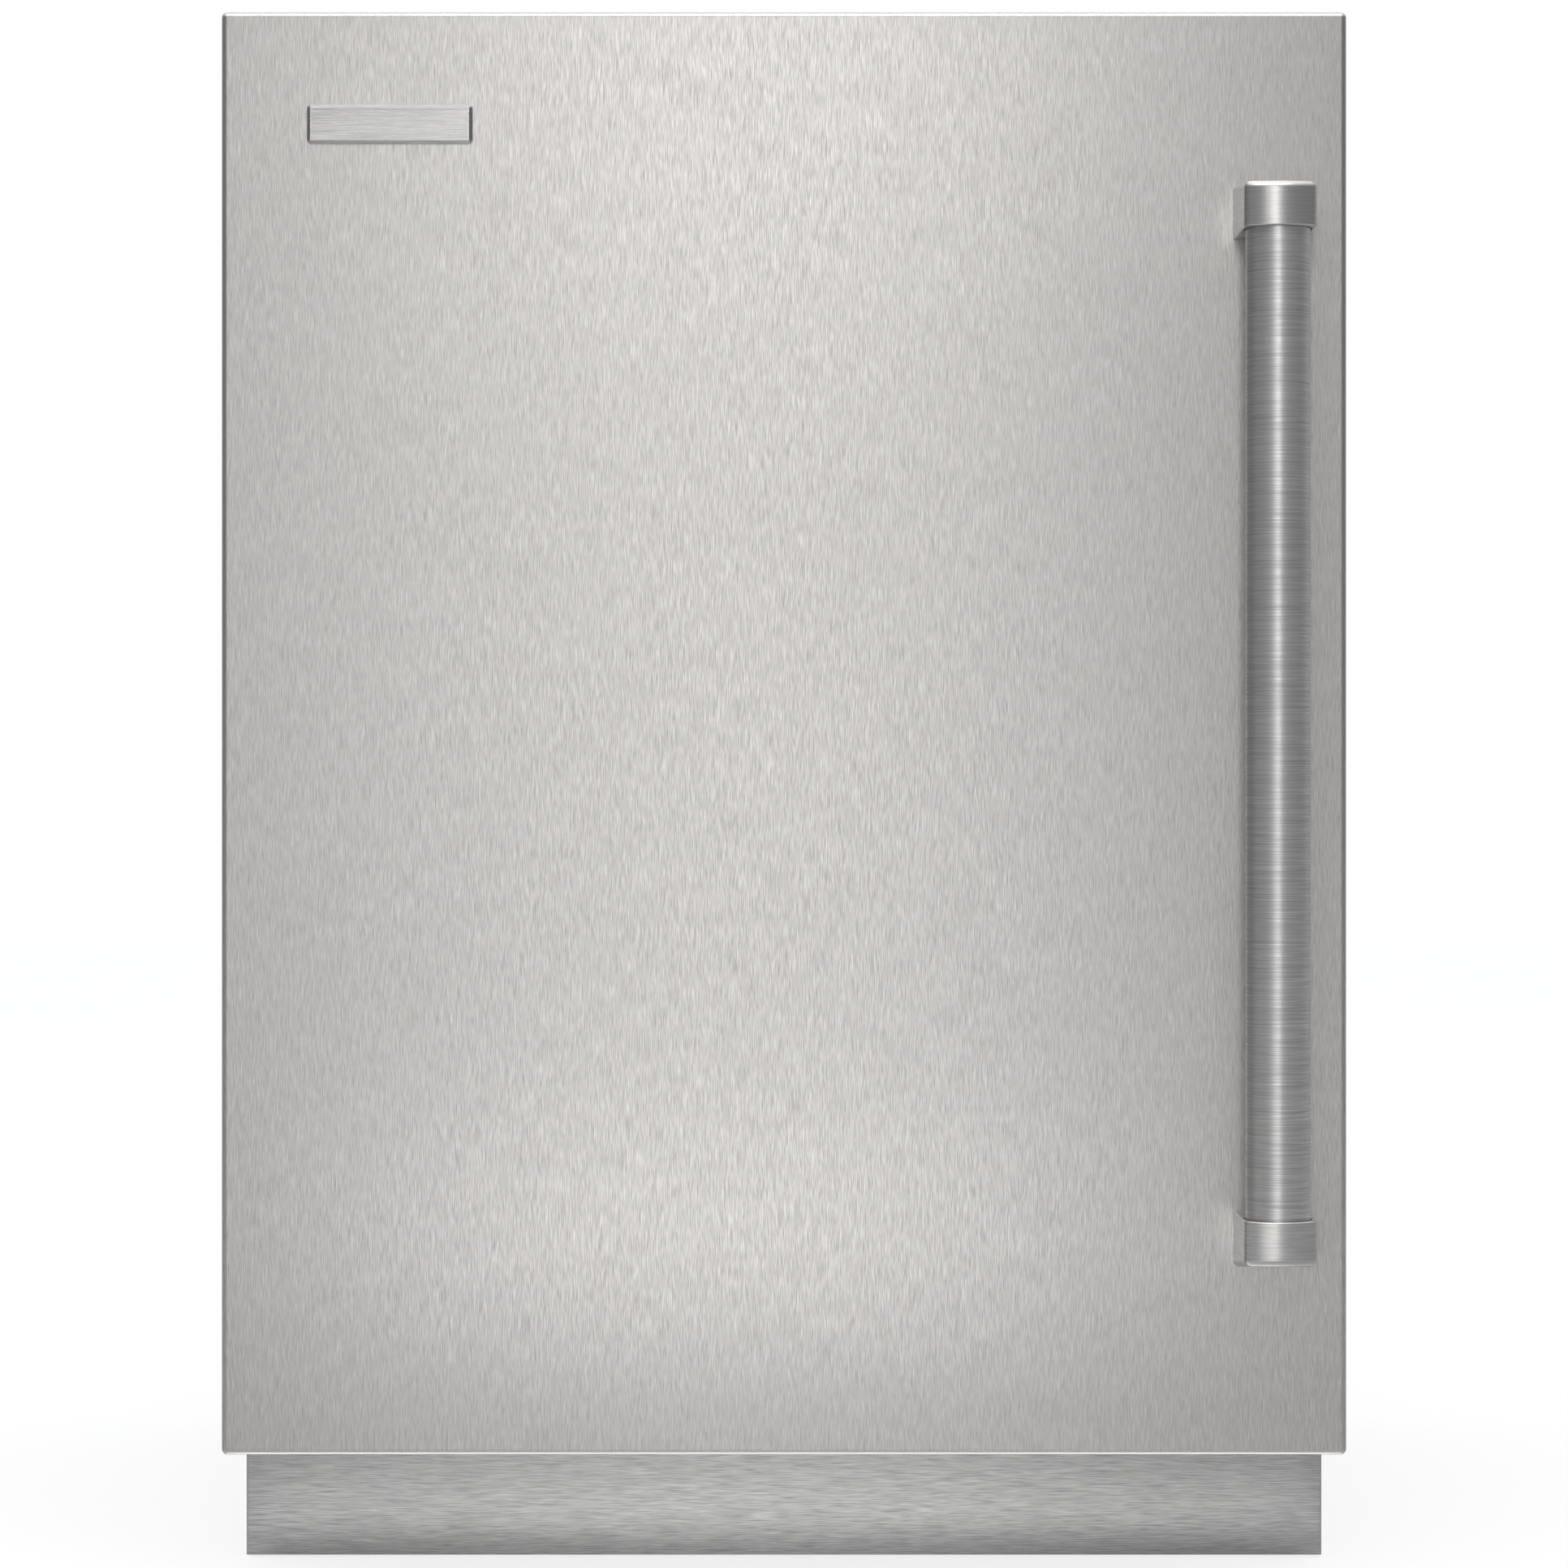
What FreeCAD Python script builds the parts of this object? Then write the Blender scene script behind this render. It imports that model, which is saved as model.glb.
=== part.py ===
"""Undercounter refrigerator with one left-hinged door, built as an assembly of separate pieces.

Units are millimetres. +X is to the right as seen from the front, +Y to the back and +Z up. The
origin is on the floor, under the middle of the whole object from the handle to the rear spacers.
Each function makes one sub-part or one group of like pieces, and each is written to parts/NODE.step.
"""

import FreeCAD, Part
import math
import os

Vector = FreeCAD.Vector
along_x = Vector(1, 0, 0)
along_y = Vector(0, 1, 0)
along_z = Vector(0, 0, 1)

# ---- Driving dimensions -----------------------------------------------------------------------
total_height = 847.0          # floor to the top of the door
door_width = 603.0            # nominal 24 in unit
door_height = 773.5
handle_reach = 62.0           # handle's stand-off from the door's face
product_depth = 610.0         # door's face to the rear spacers, without the handle
door_body_depth = 52.0        # door's face to the plane that the gasket sits on
door_gap = 12.0               # door body to cabinet front, filled by the gasket
running_gap = 0.3             # between pieces that move past each other
gasket_half = (260.0, 276.0)  # the seal's inner and outer half width
toe_recess = 100.0            # kick plate behind the door's face

cabinet_half_width = 298.5
cabinet_top = 838.0
cabinet_bottom = 78.0
sheet = 1.0                   # steel sheet of the casing
plastic = 2.5                 # wall of the moulded liner
door_skin = 1.2               # stainless sheet of the door and the kick plate

# ---- Planes that follow from them ---------------------------------------------------------------
half_depth = (product_depth + handle_reach) / 2
door_face = -half_depth + handle_reach
door_back = door_face + door_body_depth
cabinet_front = door_back + door_gap
rear_limit = half_depth
spacer_depth = 4.0
cabinet_back = rear_limit - spacer_depth
door_top = total_height
door_bottom = total_height - door_height
door_half_width = door_width / 2
kick_face = door_face + toe_recess

# Cold compartment. Its floor steps up at the back, over the machine compartment.
cavity_half_width = 250.0
cavity_floor = 118.0
cavity_ceiling = 798.0
cavity_back = 283.0
step_front = 120.0
step_top = 305.0
cavity_round = 8.0
flange_margin = 12.0          # liner shows this wide inside the steel face flange

# Machine compartment, at the bottom of the back
machine_front = 165.0
deck_height = 262.0
base_height = 24.0
base_sheet = 1.5

# Door swing
pivot_x = -287.0
pivot_y = -247.0
pin_radius = 4.0
bushing_radius = 7.0
bracket_thickness = 3.0
bracket_arm_half = 10.0
door_core_bottom = 80.7
door_core_top = 836.5
tray_depth = 19.0
edge_ring = 16.0              # width of the moulded ring round the door's foam

# Door furniture
handle_x = 259.5
handle_bar_radius = 17.0
handle_bar_wall = 2.0
handle_cap_half = 19.0
handle_cap_front_radius = 34.0    # the cap's front is a shallow arc in plan
handle_cap_corner = 5.0           # and its upright corners are rounded
handle_bottom = 181.7         # at the front of the lower cap
handle_top = 747.4            # at the front of the upper cap
handle_cap_height = 23.0      # at the front of a cap
handle_cap_slope = 6.5        # degrees that a cap's end falls towards the front
handle_socket = 12.0          # depth that the bar goes into a cap
socket_relief = (0.8, 1.4)    # width and depth of the dark ring round the bar at a cap's mouth
badge_centre = (-211.1, 786.4)
badge_size = (88.7, 21.3, 2.5)
badge_corner = 2.4
badge_chamfer = 1.8
badge_border = 1.0

# Shelves and drawer
ledge_reach = 7.0
ledge_front, ledge_back = -95.0, 235.0
ledge_pitch = 40.0
lower_shelf = 306.0
shelf_glass = 5.0
shelf_half = 247.0
shelf_depths = {                # level to the glass's front and back
    lower_shelf: (-152.0, 110.0),
    lower_shelf + 4 * ledge_pitch: (-105.0, 238.0),
    lower_shelf + 8 * ledge_pitch: (-105.0, 238.0),
}
drawer_half, drawer_front, drawer_back = 232.0, -152.0, 108.0
drawer_floor, drawer_rim = 128.0, 271.3
tub_wall = 2.5                # clear mouldings: the drawer and the door bins
tub_round = 6.0               # their upright outer corners
rail_top = 268.0

# Fans: centre, blade radius
evaporator_fan = (0.0, 268.0, 640.0, 52.0)
condenser_fan = (-8.0, 248.0, 118.0, 58.0)

foot_places = {
    "front_left": (-283.0, -135.0),
    "front_right": (283.0, -135.0),
    "rear_left": (-283.0, 300.0),
    "rear_right": (283.0, 300.0),
}
foot_stem_radius = 5.0


# ---- Helpers --------------------------------------------------------------------------------------
def block(x, y, z):
    """Box from three (low, high) pairs."""
    return Part.makeBox(x[1] - x[0], y[1] - y[0], z[1] - z[0], Vector(x[0], y[0], z[0]))


def rod(radius, length, start, direction=along_z):
    return Part.makeCylinder(radius, length, Vector(*start), direction)


def tube(outer, inner, length, start, direction=along_z):
    return rod(outer, length, start, direction).cut(rod(inner, length, start, direction))


def joined(shapes):
    """Fuses touching shapes into one solid."""
    first, rest = shapes[0], shapes[1:]
    return first.fuse(rest).removeSplitter() if rest else first


def group(shapes):
    """Keeps separate pieces separate, in one compound."""
    return Part.makeCompound(shapes)


def mirror_x(shape):
    return shape.mirror(Vector(0, 0, 0), along_x)


def both_sides(shape):
    return group([shape, mirror_x(shape)])


def edges_where(shape, test):
    return [edge for edge in shape.Edges if test(edge.BoundBox)]


def runs_along(box, axis):
    lengths = {"x": box.XLength, "y": box.YLength, "z": box.ZLength}
    return lengths[axis] > 1 and all(v < 1e-3 for k, v in lengths.items() if k != axis)


def rounded_block(x, y, z, axis, radius):
    """Box whose four edges along one axis are rounded."""
    body = block(x, y, z)
    return body.makeFillet(radius, edges_where(body, lambda b: runs_along(b, axis)))


def open_tub(x, y, z):
    """Thin-walled box, open at the top, with rounded upright corners."""
    inner = rounded_block(
        (x[0] + tub_wall, x[1] - tub_wall), (y[0] + tub_wall, y[1] - tub_wall),
        (z[0] + tub_wall, z[1] + 1), "z", tub_round - tub_wall,
    )
    return rounded_block(x, y, z, "z", tub_round).cut(inner)


def prism(points, direction):
    """Solid from a closed outline of points, pushed along a vector."""
    outline = Part.makePolygon([Vector(*p) for p in points] + [Vector(*points[0])])
    return Part.Face(outline).extrude(direction)


def pipe(points, radius, bend):
    """Round tube of straight runs joined by tangent arcs of one bend radius."""
    corners = [Vector(*p) for p in points]
    edges, start = [], corners[0]
    for before, corner, after in zip(corners, corners[1:], corners[2:]):
        inward = (before - corner).normalize()
        outward = (after - corner).normalize()
        half_turn = inward.getAngle(outward) / 2
        setback = bend / math.tan(half_turn)
        middle = (inward + outward).normalize()
        centre = corner + middle * (bend / math.sin(half_turn))
        first, last = corner + inward * setback, corner + outward * setback
        edges.append(Part.LineSegment(start, first).toShape())
        edges.append(Part.Arc(first, centre - middle * bend, last).toShape())
        start = last
    edges.append(Part.LineSegment(start, corners[-1]).toShape())
    return swept(edges, radius)


def swept(edges, radius):
    path = Part.Wire(edges)
    start = path.Vertexes[0].Point
    direction = edges[0].tangentAt(edges[0].FirstParameter)
    section = Part.Wire([Part.makeCircle(radius, start, direction)])
    return path.makePipeShell([section], True, False)


def serpentine(x, y, levels, radius):
    """Tube that runs along X at each level and turns round in a half circle between levels."""
    edges = []
    for number, (low, high) in enumerate(zip(levels, levels[1:])):
        start, end = (x if number % 2 == 0 else x[::-1])
        edges.append(Part.LineSegment(Vector(start, y, low), Vector(end, y, low)).toShape())
        turn = (high - low) / 2
        bulge = turn if end > start else -turn
        edges.append(
            Part.Arc(
                Vector(end, y, low), Vector(end + bulge, y, low + turn), Vector(end, y, high)
            ).toShape()
        )
    start, end = (x if (len(levels) - 1) % 2 == 0 else x[::-1])
    edges.append(
        Part.LineSegment(Vector(start, y, levels[-1]), Vector(end, y, levels[-1])).toShape()
    )
    return swept(edges, radius)


def fin_stack(x, y, z, count, thickness, tube_y, levels, hole):
    """Thin plates across the tube's runs, each with a hole for every run."""
    pitch = (x[1] - x[0] - thickness) / (count - 1)
    fins = []
    for number in range(count):
        left = x[0] + number * pitch
        fin = block((left, left + thickness), y, z)
        for level in levels:
            fin = fin.cut(rod(hole, thickness + 2, (left - 1, tube_y, level), along_x))
        fins.append(fin)
    return fins


def screw(place, direction, head_radius=4.0, head=2.2, shank_radius=2.0, shank=8.0):
    """Pan-head screw. place is under the head, and direction points into the work."""
    start = Vector(*place)
    body = Part.makeCylinder(shank_radius, shank, start, direction)
    cap = Part.makeCylinder(head_radius, head, start - direction * head, direction)
    slot = Part.makeCylinder(head_radius * 0.45, head * 0.5, start - direction * head, direction)
    return body.fuse(cap).removeSplitter().cut(slot)


def screw_holes(places, direction, radius=2.1, depth=9.0):
    return [Part.makeCylinder(radius, depth, Vector(*p), direction) for p in places]


def fan_blade(axis_start, axis, reach, hub, depth, count, pitch, bore):
    """Axial fan rotor: a hub with flat pitched blades trimmed to a circle."""
    rotor = rod(hub, depth, (0, 0, 0))
    chord = 2 * math.pi * hub / count * 1.25
    for number in range(count):
        blade = block((hub - 2, reach + 5), (-chord / 2, chord / 2), (-0.9, 0.9))
        blade.rotate(Vector(0, 0, 0), along_x, pitch)
        blade.translate(Vector(0, 0, depth / 2))
        blade.rotate(Vector(0, 0, 0), along_z, 360.0 * number / count)
        rotor = rotor.fuse(blade)
    rotor = rotor.common(rod(reach, depth, (0, 0, 0)))
    rotor = rotor.cut(rod(bore, depth * 0.75, (0, 0, 0))).removeSplitter()
    turn = FreeCAD.Rotation(along_z, axis)
    rotor.Placement = FreeCAD.Placement(Vector(*axis_start), turn)
    return rotor


# ---- Casing ---------------------------------------------------------------------------------------
bracket_screws = [(-262.0, -196.0), (-238.0, -196.0), (-250.0, -170.0)]
bottom_bracket_screws = [(-262.0, -192.0), (-238.0, -192.0), (-214.0, -192.0)]
anti_tip_x = 200.0
anti_tip_hole_y = cabinet_front - 9.0
anti_tip_screws = [(side * anti_tip_x, y) for side in (-1, 1) for y in (-190.0, -165.0)]
rear_screws = [(x, z) for x in (-285.0, -95.0, 95.0, 285.0) for z in (92.0, 252.0)]
gland_place = (250.0, 58.0)
gland_hole = 11.0
drain_place = (-120.0, 262.0)
drain_radius = 7.0
coil_levels = [390.0 + 26.0 * number for number in range(6)]
coil_left, coil_y = -150.0, 268.0
suction_path = [
    (-200, 290, 176), (-200, 290, 240), (-200, 308, 240), (-200, 308, coil_levels[0]),
    (-200, coil_y, coil_levels[0]), (coil_left, coil_y, coil_levels[0]),
]
suction_radius = 4.0
face_half = cavity_half_width + flange_margin
face_bottom = cavity_floor - flange_margin
face_top = cavity_ceiling + flange_margin


def top_screw_places():
    return [(x, y, cabinet_top) for x, y in bracket_screws + anti_tip_screws]


def outer_shell():
    """Left side, top and right side, folded from one sheet, with the face flange at the front."""
    width = (-cabinet_half_width, cabinet_half_width)
    shell = block(width, (cabinet_front, cabinet_back + sheet), (cabinet_bottom, cabinet_top))
    inside = block(
        (width[0] + sheet, width[1] - sheet),
        (cabinet_front + sheet, cabinet_back + 2 * sheet),
        (cabinet_bottom - sheet, cabinet_top - sheet),
    )
    face = block(
        (-face_half, face_half),
        (cabinet_front - sheet, cabinet_front + 2 * sheet),
        (cabinet_bottom - sheet, face_top),
    )
    holes = screw_holes(top_screw_places(), -along_z)
    return shell.cut(inside).cut([face] + holes)


def floor_pan():
    """Front lip, floor, wall and deck in one folded sheet. It parts the foam from the machinery."""
    width = (-cabinet_half_width + sheet, cabinet_half_width - sheet)
    floor = block(
        width, (cabinet_front + sheet, machine_front), (cabinet_bottom, cabinet_bottom + sheet)
    )
    lip = block(
        (-face_half, face_half),
        (cabinet_front, cabinet_front + sheet),
        (cabinet_bottom, face_bottom),
    )
    wall = block(width, (machine_front, machine_front + sheet), (cabinet_bottom, deck_height))
    deck = block(width, (machine_front, cabinet_back - sheet), (deck_height - sheet, deck_height))
    holes = screw_holes([(x, y, cabinet_bottom) for x, y in bottom_bracket_screws], along_z)
    return joined([floor, lip, wall, deck]).cut(holes + [suction_run(0.3), drain_bore()])


def back_panel():
    return block(
        (-cabinet_half_width + sheet, cabinet_half_width - sheet),
        (cabinet_back - sheet, cabinet_back),
        (deck_height, cabinet_top - sheet),
    )


def rear_cover():
    """Louvred plate that closes the machine compartment."""
    plate = block(
        (-cabinet_half_width + sheet, cabinet_half_width - sheet),
        (cabinet_back - sheet, cabinet_back),
        (cabinet_bottom, deck_height),
    )
    lower = block(
        (-268.0, 268.0), (cabinet_back - sheet, cabinet_back), (base_height + 3, cabinet_bottom)
    )
    plate = joined([plate, lower])
    cuts = screw_holes([(x, cabinet_back - 5, z) for x, z in rear_screws], along_y)
    cuts.append(rod(gland_hole, 10, (gland_place[0], cabinet_back - 5, gland_place[1]), along_y))
    slot_height, slot_pitch, rows = 4.0, 11.0, 12
    for left in (-262.0, -72.0, 118.0):
        for row in range(rows):
            low = 108.0 + row * slot_pitch
            cuts.append(
                block((left, left + 144.0), (cabinet_back - 3, cabinet_back + 3),
                      (low, low + slot_height))
            )
    return plate.cut(cuts)


def rear_spacers():
    """Four moulded pads that keep the back off the wall."""
    pads = []
    for x in (-240.0, 240.0):
        for z in (300.0, 790.0):
            pad = rounded_block(
                (x - 18, x + 18), (cabinet_back, rear_limit), (z - 12, z + 12), "y", 6.0
            )
            pads.append(pad)
    return group(pads)


def cord_gland():
    """Strain relief that the power cord leaves through."""
    x, z = gland_place
    collar = rod(gland_hole - 0.1, 12.0, (x, cabinet_back - 9, z), along_y)
    lip = rod(gland_hole + 3, 2.0, (x, cabinet_back, z), along_y)
    bore = rod(4.2, 20.0, (x, cabinet_back - 12, z), along_y)
    return joined([collar, lip]).cut(bore)


def base_frame():
    """Channel under each side that the feet screw into, and the front channel between them."""
    channel = block((270.0, 297.5), (-165.0, cabinet_back - sheet), (22.0, cabinet_bottom))
    hollow = block((269.0, 295.5), (-166.0, cabinet_back), (base_height, cabinet_bottom - 2))
    holes = [rod(foot_stem_radius + 0.05, 6, (283.0, y, 20.0)) for y in (-135.0, 300.0)]
    side = channel.cut(hollow).cut(holes)
    bar = block((-270.0, 270.0), (-158.0, -136.0), (30.0, 74.0))
    bar = bar.cut(block((-271.0, 271.0), (-156.0, -135.0), (32.0, 72.0)))
    return group([side, mirror_x(side), bar])


def machine_base_plate():
    plate = block(
        (-294.0, 294.0), (machine_front, cabinet_back - sheet), (base_height, base_height + base_sheet)
    )
    holes = [rod(9.0, 6, (side * 283.0, 300.0, 22.0)) for side in (-1, 1)]
    return plate.cut(holes)


def toe_kick():
    """Stainless plate with short returns on all four edges."""
    half, low, high, depth = 301.0, 1.5, 77.5, 8.5
    plate = rounded_block((-half, half), (kick_face, kick_face + depth), (low, high), "z", 0.8)
    hollow = block(
        (-half + door_skin, half - door_skin),
        (kick_face + door_skin, kick_face + depth + 1),
        (low + door_skin, high - door_skin),
    )
    return plate.cut(hollow)


def toe_kick_clips():
    """Spring clips between the kick plate and the front channel."""
    clips = []
    for x in (-180.0, 180.0):
        back = kick_face + door_skin
        web = block((x - 12, x + 12), (back, -158.0), (50.0, 52.0))
        foot = block((x - 12, x + 12), (back, back + 1.5), (38.0, 64.0))
        heel = block((x - 12, x + 12), (-159.5, -158.0), (38.0, 64.0))
        clips.append(joined([web, foot, heel]))
    return group(clips)


def levelling_foot(x, y):
    """Screw foot: pad, hexagon for the spanner and threaded stem."""
    pad = rod(18.0, 6.0, (x, y, 0))
    pad = pad.makeFillet(1.5, edges_where(pad, lambda b: b.ZLength < 1e-3))
    corners = [
        (x + 9 * math.cos(math.radians(60 * k)), y + 9 * math.sin(math.radians(60 * k)), 6.0)
        for k in range(6)
    ]
    hexagon = prism(corners, Vector(0, 0, 7))
    stem = rod(foot_stem_radius, 49.0, (x, y, 13.0))
    return joined([pad, hexagon, stem])


# ---- Liner and foam ---------------------------------------------------------------------------------
def cavity_shape(grow, radius):
    """The cold compartment's space, grown outwards by a wall thickness."""
    half = cavity_half_width + grow
    low, high, back = cavity_floor - grow, cavity_ceiling + grow, cavity_back + grow
    space = block((-half, half), (cabinet_front, back), (low, high))
    step = block(
        (-half - 1, half + 1), (step_front + grow, back + 1), (low - 1, step_top - grow)
    )
    space = space.cut(step)
    inner_edges = edges_where(
        space, lambda b: not (b.YMax < cabinet_front + 1e-3)
    )
    return space.makeFillet(radius, inner_edges)


def drain_bore():
    return rod(drain_radius, 90.0, (drain_place[0], drain_place[1], 230.0))


def suction_run(clearance):
    return pipe(suction_path, suction_radius + clearance, 7.0)


def ledge(level, front, back):
    """Rib on the right wall that a shelf's edge rests on, with a sloped underside."""
    wall, reach = cavity_half_width + 0.5, cavity_half_width - ledge_reach
    points = [
        (wall, front, level - 11), (reach, front, level - 4),
        (reach, front, level), (wall, front, level),
    ]
    return prism(points, Vector(0, back - front, 0))


def liner():
    """Vacuum-formed tub with its face flange and the shelf ledges."""
    skin = cavity_shape(plastic, cavity_round + plastic).cut(cavity_shape(0, cavity_round))
    flange = block(
        (-face_half, face_half), (cabinet_front, cabinet_front + plastic), (face_bottom, face_top)
    )
    ledges = [ledge(lower_shelf, -145.0, step_front - 6)]
    ledges += [
        ledge(lower_shelf + ledge_pitch * number, ledge_front, ledge_back)
        for number in range(1, 11)
    ]
    ledges += [mirror_x(rib) for rib in ledges]
    body = skin.fuse(flange.cut(cavity_shape(0, cavity_round)))
    body = body.fuse(ledges).removeSplitter()
    return body.cut([drain_bore(), suction_run(0.3)])


def insulation_foam():
    foam = block(
        (-cabinet_half_width + sheet, cabinet_half_width - sheet),
        (cabinet_front + sheet, cabinet_back - sheet),
        (cabinet_bottom + sheet, cabinet_top - sheet),
    )
    machine = block(
        (-cabinet_half_width, cabinet_half_width),
        (machine_front, cabinet_back),
        (cabinet_bottom, deck_height),
    )
    flange = block(
        (-face_half, face_half),
        (cabinet_front, cabinet_front + plastic),
        (face_bottom, face_top),
    )
    screws = screw_holes(top_screw_places(), -along_z)
    screws += screw_holes([(x, y, cabinet_bottom) for x, y in bottom_bracket_screws], along_z)
    voids = [machine, flange, cavity_shape(plastic, cavity_round + plastic)]
    return foam.cut(voids + [drain_bore(), suction_run(0.3)] + screws)


# ---- Hinges -------------------------------------------------------------------------------------------
def hinge_plate(low, depth_to, width_to, places):
    """Flat bracket: a pad on the cabinet and an arm forward to the pivot."""
    left = pivot_x - bracket_arm_half
    height = (low, low + bracket_thickness)
    arm = block((left, pivot_x + bracket_arm_half), (pivot_y, cabinet_front + 2), height)
    nose = rod(bracket_arm_half, bracket_thickness, (pivot_x, pivot_y, low))
    pad = block((left, width_to), (cabinet_front + 0.5, depth_to), height)
    holes = [rod(2.1, 10, (x, y, low - 2)) for x, y in places]
    pin_hole = rod(pin_radius, 10, (pivot_x, pivot_y, low - 2))
    return joined([arm, nose, pad]).cut(holes + [pin_hole])


def hinge_bracket_top():
    return hinge_plate(cabinet_top, -158.0, -225.0, bracket_screws)


def hinge_bracket_bottom():
    return hinge_plate(
        cabinet_bottom - bracket_thickness, -180.0, -202.0, bottom_bracket_screws
    )


def hinge_pins():
    """Pivot pins, riveted in the brackets, and the washer on the lower one that carries the door."""
    top_face = cabinet_top + bracket_thickness
    upper = joined([
        rod(pin_radius, 18.0, (pivot_x, pivot_y, top_face - 18.0)),
        rod(6.5, 2.0, (pivot_x, pivot_y, top_face)),
    ])
    bottom_face = cabinet_bottom - bracket_thickness
    lower = joined([
        rod(pin_radius, 18.0, (pivot_x, pivot_y, bottom_face)),
        rod(6.5, 1.3, (pivot_x, pivot_y, bottom_face - 1.3)),
    ])
    washer = tube(9.0, pin_radius + 0.05, 1.2, (pivot_x, pivot_y, cabinet_bottom))
    return group([upper, lower, washer])


def hinge_bushings():
    """Flanged plastic bushes pressed into the door's upper and lower edges."""
    bore = pin_radius + 0.06
    upper = joined([
        rod(bushing_radius, 15.0, (pivot_x, pivot_y, door_core_top - 15.0)),
        rod(10.0, 1.2, (pivot_x, pivot_y, door_core_top)),
    ]).cut(rod(bore, 30.0, (pivot_x, pivot_y, door_core_top - 20.0)))
    lower = joined([
        rod(bushing_radius, 15.0, (pivot_x, pivot_y, door_core_bottom)),
        rod(10.0, 1.2, (pivot_x, pivot_y, door_core_bottom - 1.2)),
    ]).cut(rod(bore, 30.0, (pivot_x, pivot_y, door_core_bottom - 10.0)))
    return group([upper, lower])


anti_tip_plate = 2.0
anti_tip_hole_radius = 2.75


def anti_tip_brackets():
    """Plates on the cabinet's top whose front tabs screw up into a worktop."""
    plates = []
    for side in (-1, 1):
        x = side * anti_tip_x
        plate = rounded_block(
            (x - 16, x + 16), (cabinet_front - 18, -150.0),
            (cabinet_top, cabinet_top + anti_tip_plate), "z", 5.0,
        )
        holes = [rod(2.1, 8, (x, y, cabinet_top - 2)) for side_x, y in anti_tip_screws if side_x == x]
        holes.append(rod(anti_tip_hole_radius, 8, (x, anti_tip_hole_y, cabinet_top - 2)))
        plates.append(plate.cut(holes))
    return group(plates)


def casing_screws():
    """Equal pan-head screws of the hinge brackets, the anti-tip brackets and the rear cover."""
    hinge_top = cabinet_top + bracket_thickness
    hinge_bottom = cabinet_bottom - bracket_thickness
    anti_tip_top = cabinet_top + anti_tip_plate
    screws = [screw((x, y, hinge_top), -along_z) for x, y in bracket_screws]
    screws += [screw((x, y, hinge_bottom), along_z) for x, y in bottom_bracket_screws]
    screws += [screw((x, y, anti_tip_top), -along_z) for x, y in anti_tip_screws]
    screws += [screw((x, cabinet_back, z), -along_y) for x, z in rear_screws]
    return group(screws)


# ---- Door ----------------------------------------------------------------------------------------------
dike_outer = (-238.0, 238.0, 130.0, 792.0)     # x low, x high, z low, z high
dike_width = 30.0
dike_reach = 32.0
dike_skin = 2.2
liner_sheet = 2.0
bin_half = 202.0
bin_back, bin_front = door_back + 1.5, door_back + 104.0
bins = {"upper": (590.0, 690.0), "lower": (345.0, 500.0)}
hook_depth = (door_back + 8.0, door_back + 28.0)
handle_front = door_face - handle_reach
handle_centre_y = handle_front + handle_bar_radius + 2.0
handle_screw_levels = (handle_bottom + 10.0, handle_top - 10.0)


def door_panel():
    """Stainless tray: the flat front with returns on all four sides."""
    width = (-door_half_width, door_half_width)
    height = (door_bottom, door_top)
    depth = (door_face, door_face + tray_depth)
    tray = block(width, depth, height)
    on_face = lambda b: b.YMax < door_face + 1e-3
    tray = tray.makeFillet(3.0, edges_where(tray, lambda b: on_face(b) or runs_along(b, "y")))
    inside = block(
        (width[0] + door_skin, width[1] - door_skin),
        (door_face + door_skin, door_face + tray_depth + 1),
        (height[0] + door_skin, height[1] - door_skin),
    )
    inner_face = lambda b: b.YMax < door_face + door_skin + 1e-3
    inside = inside.makeFillet(
        1.8, edges_where(inside, lambda b: inner_face(b) or runs_along(b, "y"))
    )
    notch_depth = (door_face + 6.0, door_face + tray_depth + 1)
    side = (width[0] - 1, width[0] + 4)
    notches = [
        block(side, notch_depth, (cabinet_top - 2.5, cabinet_top + 6.0)),
        block(side, notch_depth, (cabinet_bottom - 3.3, cabinet_bottom + 3.0)),
    ]
    screws = [
        rod(3.1, 5, (handle_x, door_face - 1, z), along_y) for z in handle_screw_levels
    ]
    return tray.cut(inside).cut(notches + screws)


def door_edge_frame():
    """Moulded ring between the steel tray and the door liner. It holds the hinge bushings."""
    depth = (door_face + tray_depth, door_back - liner_sheet)
    width = (-cabinet_half_width, cabinet_half_width)
    outer = block(width, depth, (door_core_bottom, door_core_top))
    inner = block(
        (width[0] + edge_ring, width[1] - edge_ring),
        (depth[0] - 1, depth[1] + 1),
        (door_core_bottom + edge_ring, door_core_top - edge_ring),
    )
    pockets = [
        rod(bushing_radius, 15.0, (pivot_x, pivot_y, door_core_top - 15.0)),
        rod(bushing_radius, 15.0, (pivot_x, pivot_y, door_core_bottom)),
        rod(pin_radius + 0.5, 30.0, (pivot_x, pivot_y, door_core_top - 20.0)),
        rod(pin_radius + 0.5, 30.0, (pivot_x, pivot_y, door_core_bottom - 10.0)),
    ]
    return outer.cut(inner).cut(pockets)


def dike_ring(inset, reach):
    """Raised ring round the inside of the door, drawn in from its outer face by inset."""
    left, right, low, high = dike_outer
    outer = rounded_block(
        (left + inset, right - inset), (door_back - liner_sheet, door_back + reach),
        (low + inset, high - inset), "y", 14.0 - inset,
    )
    width = dike_width - inset
    inner = rounded_block(
        (left + width, right - width), (door_back - liner_sheet - 1, door_back + reach + 1),
        (low + width, high - width), "y", 8.0 + inset,
    )
    ring = outer.cut(inner)
    crown = edges_where(ring, lambda b: b.YMin > door_back + reach - 1e-3)
    return ring.makeFillet(5.0 - inset, crown)


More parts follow.
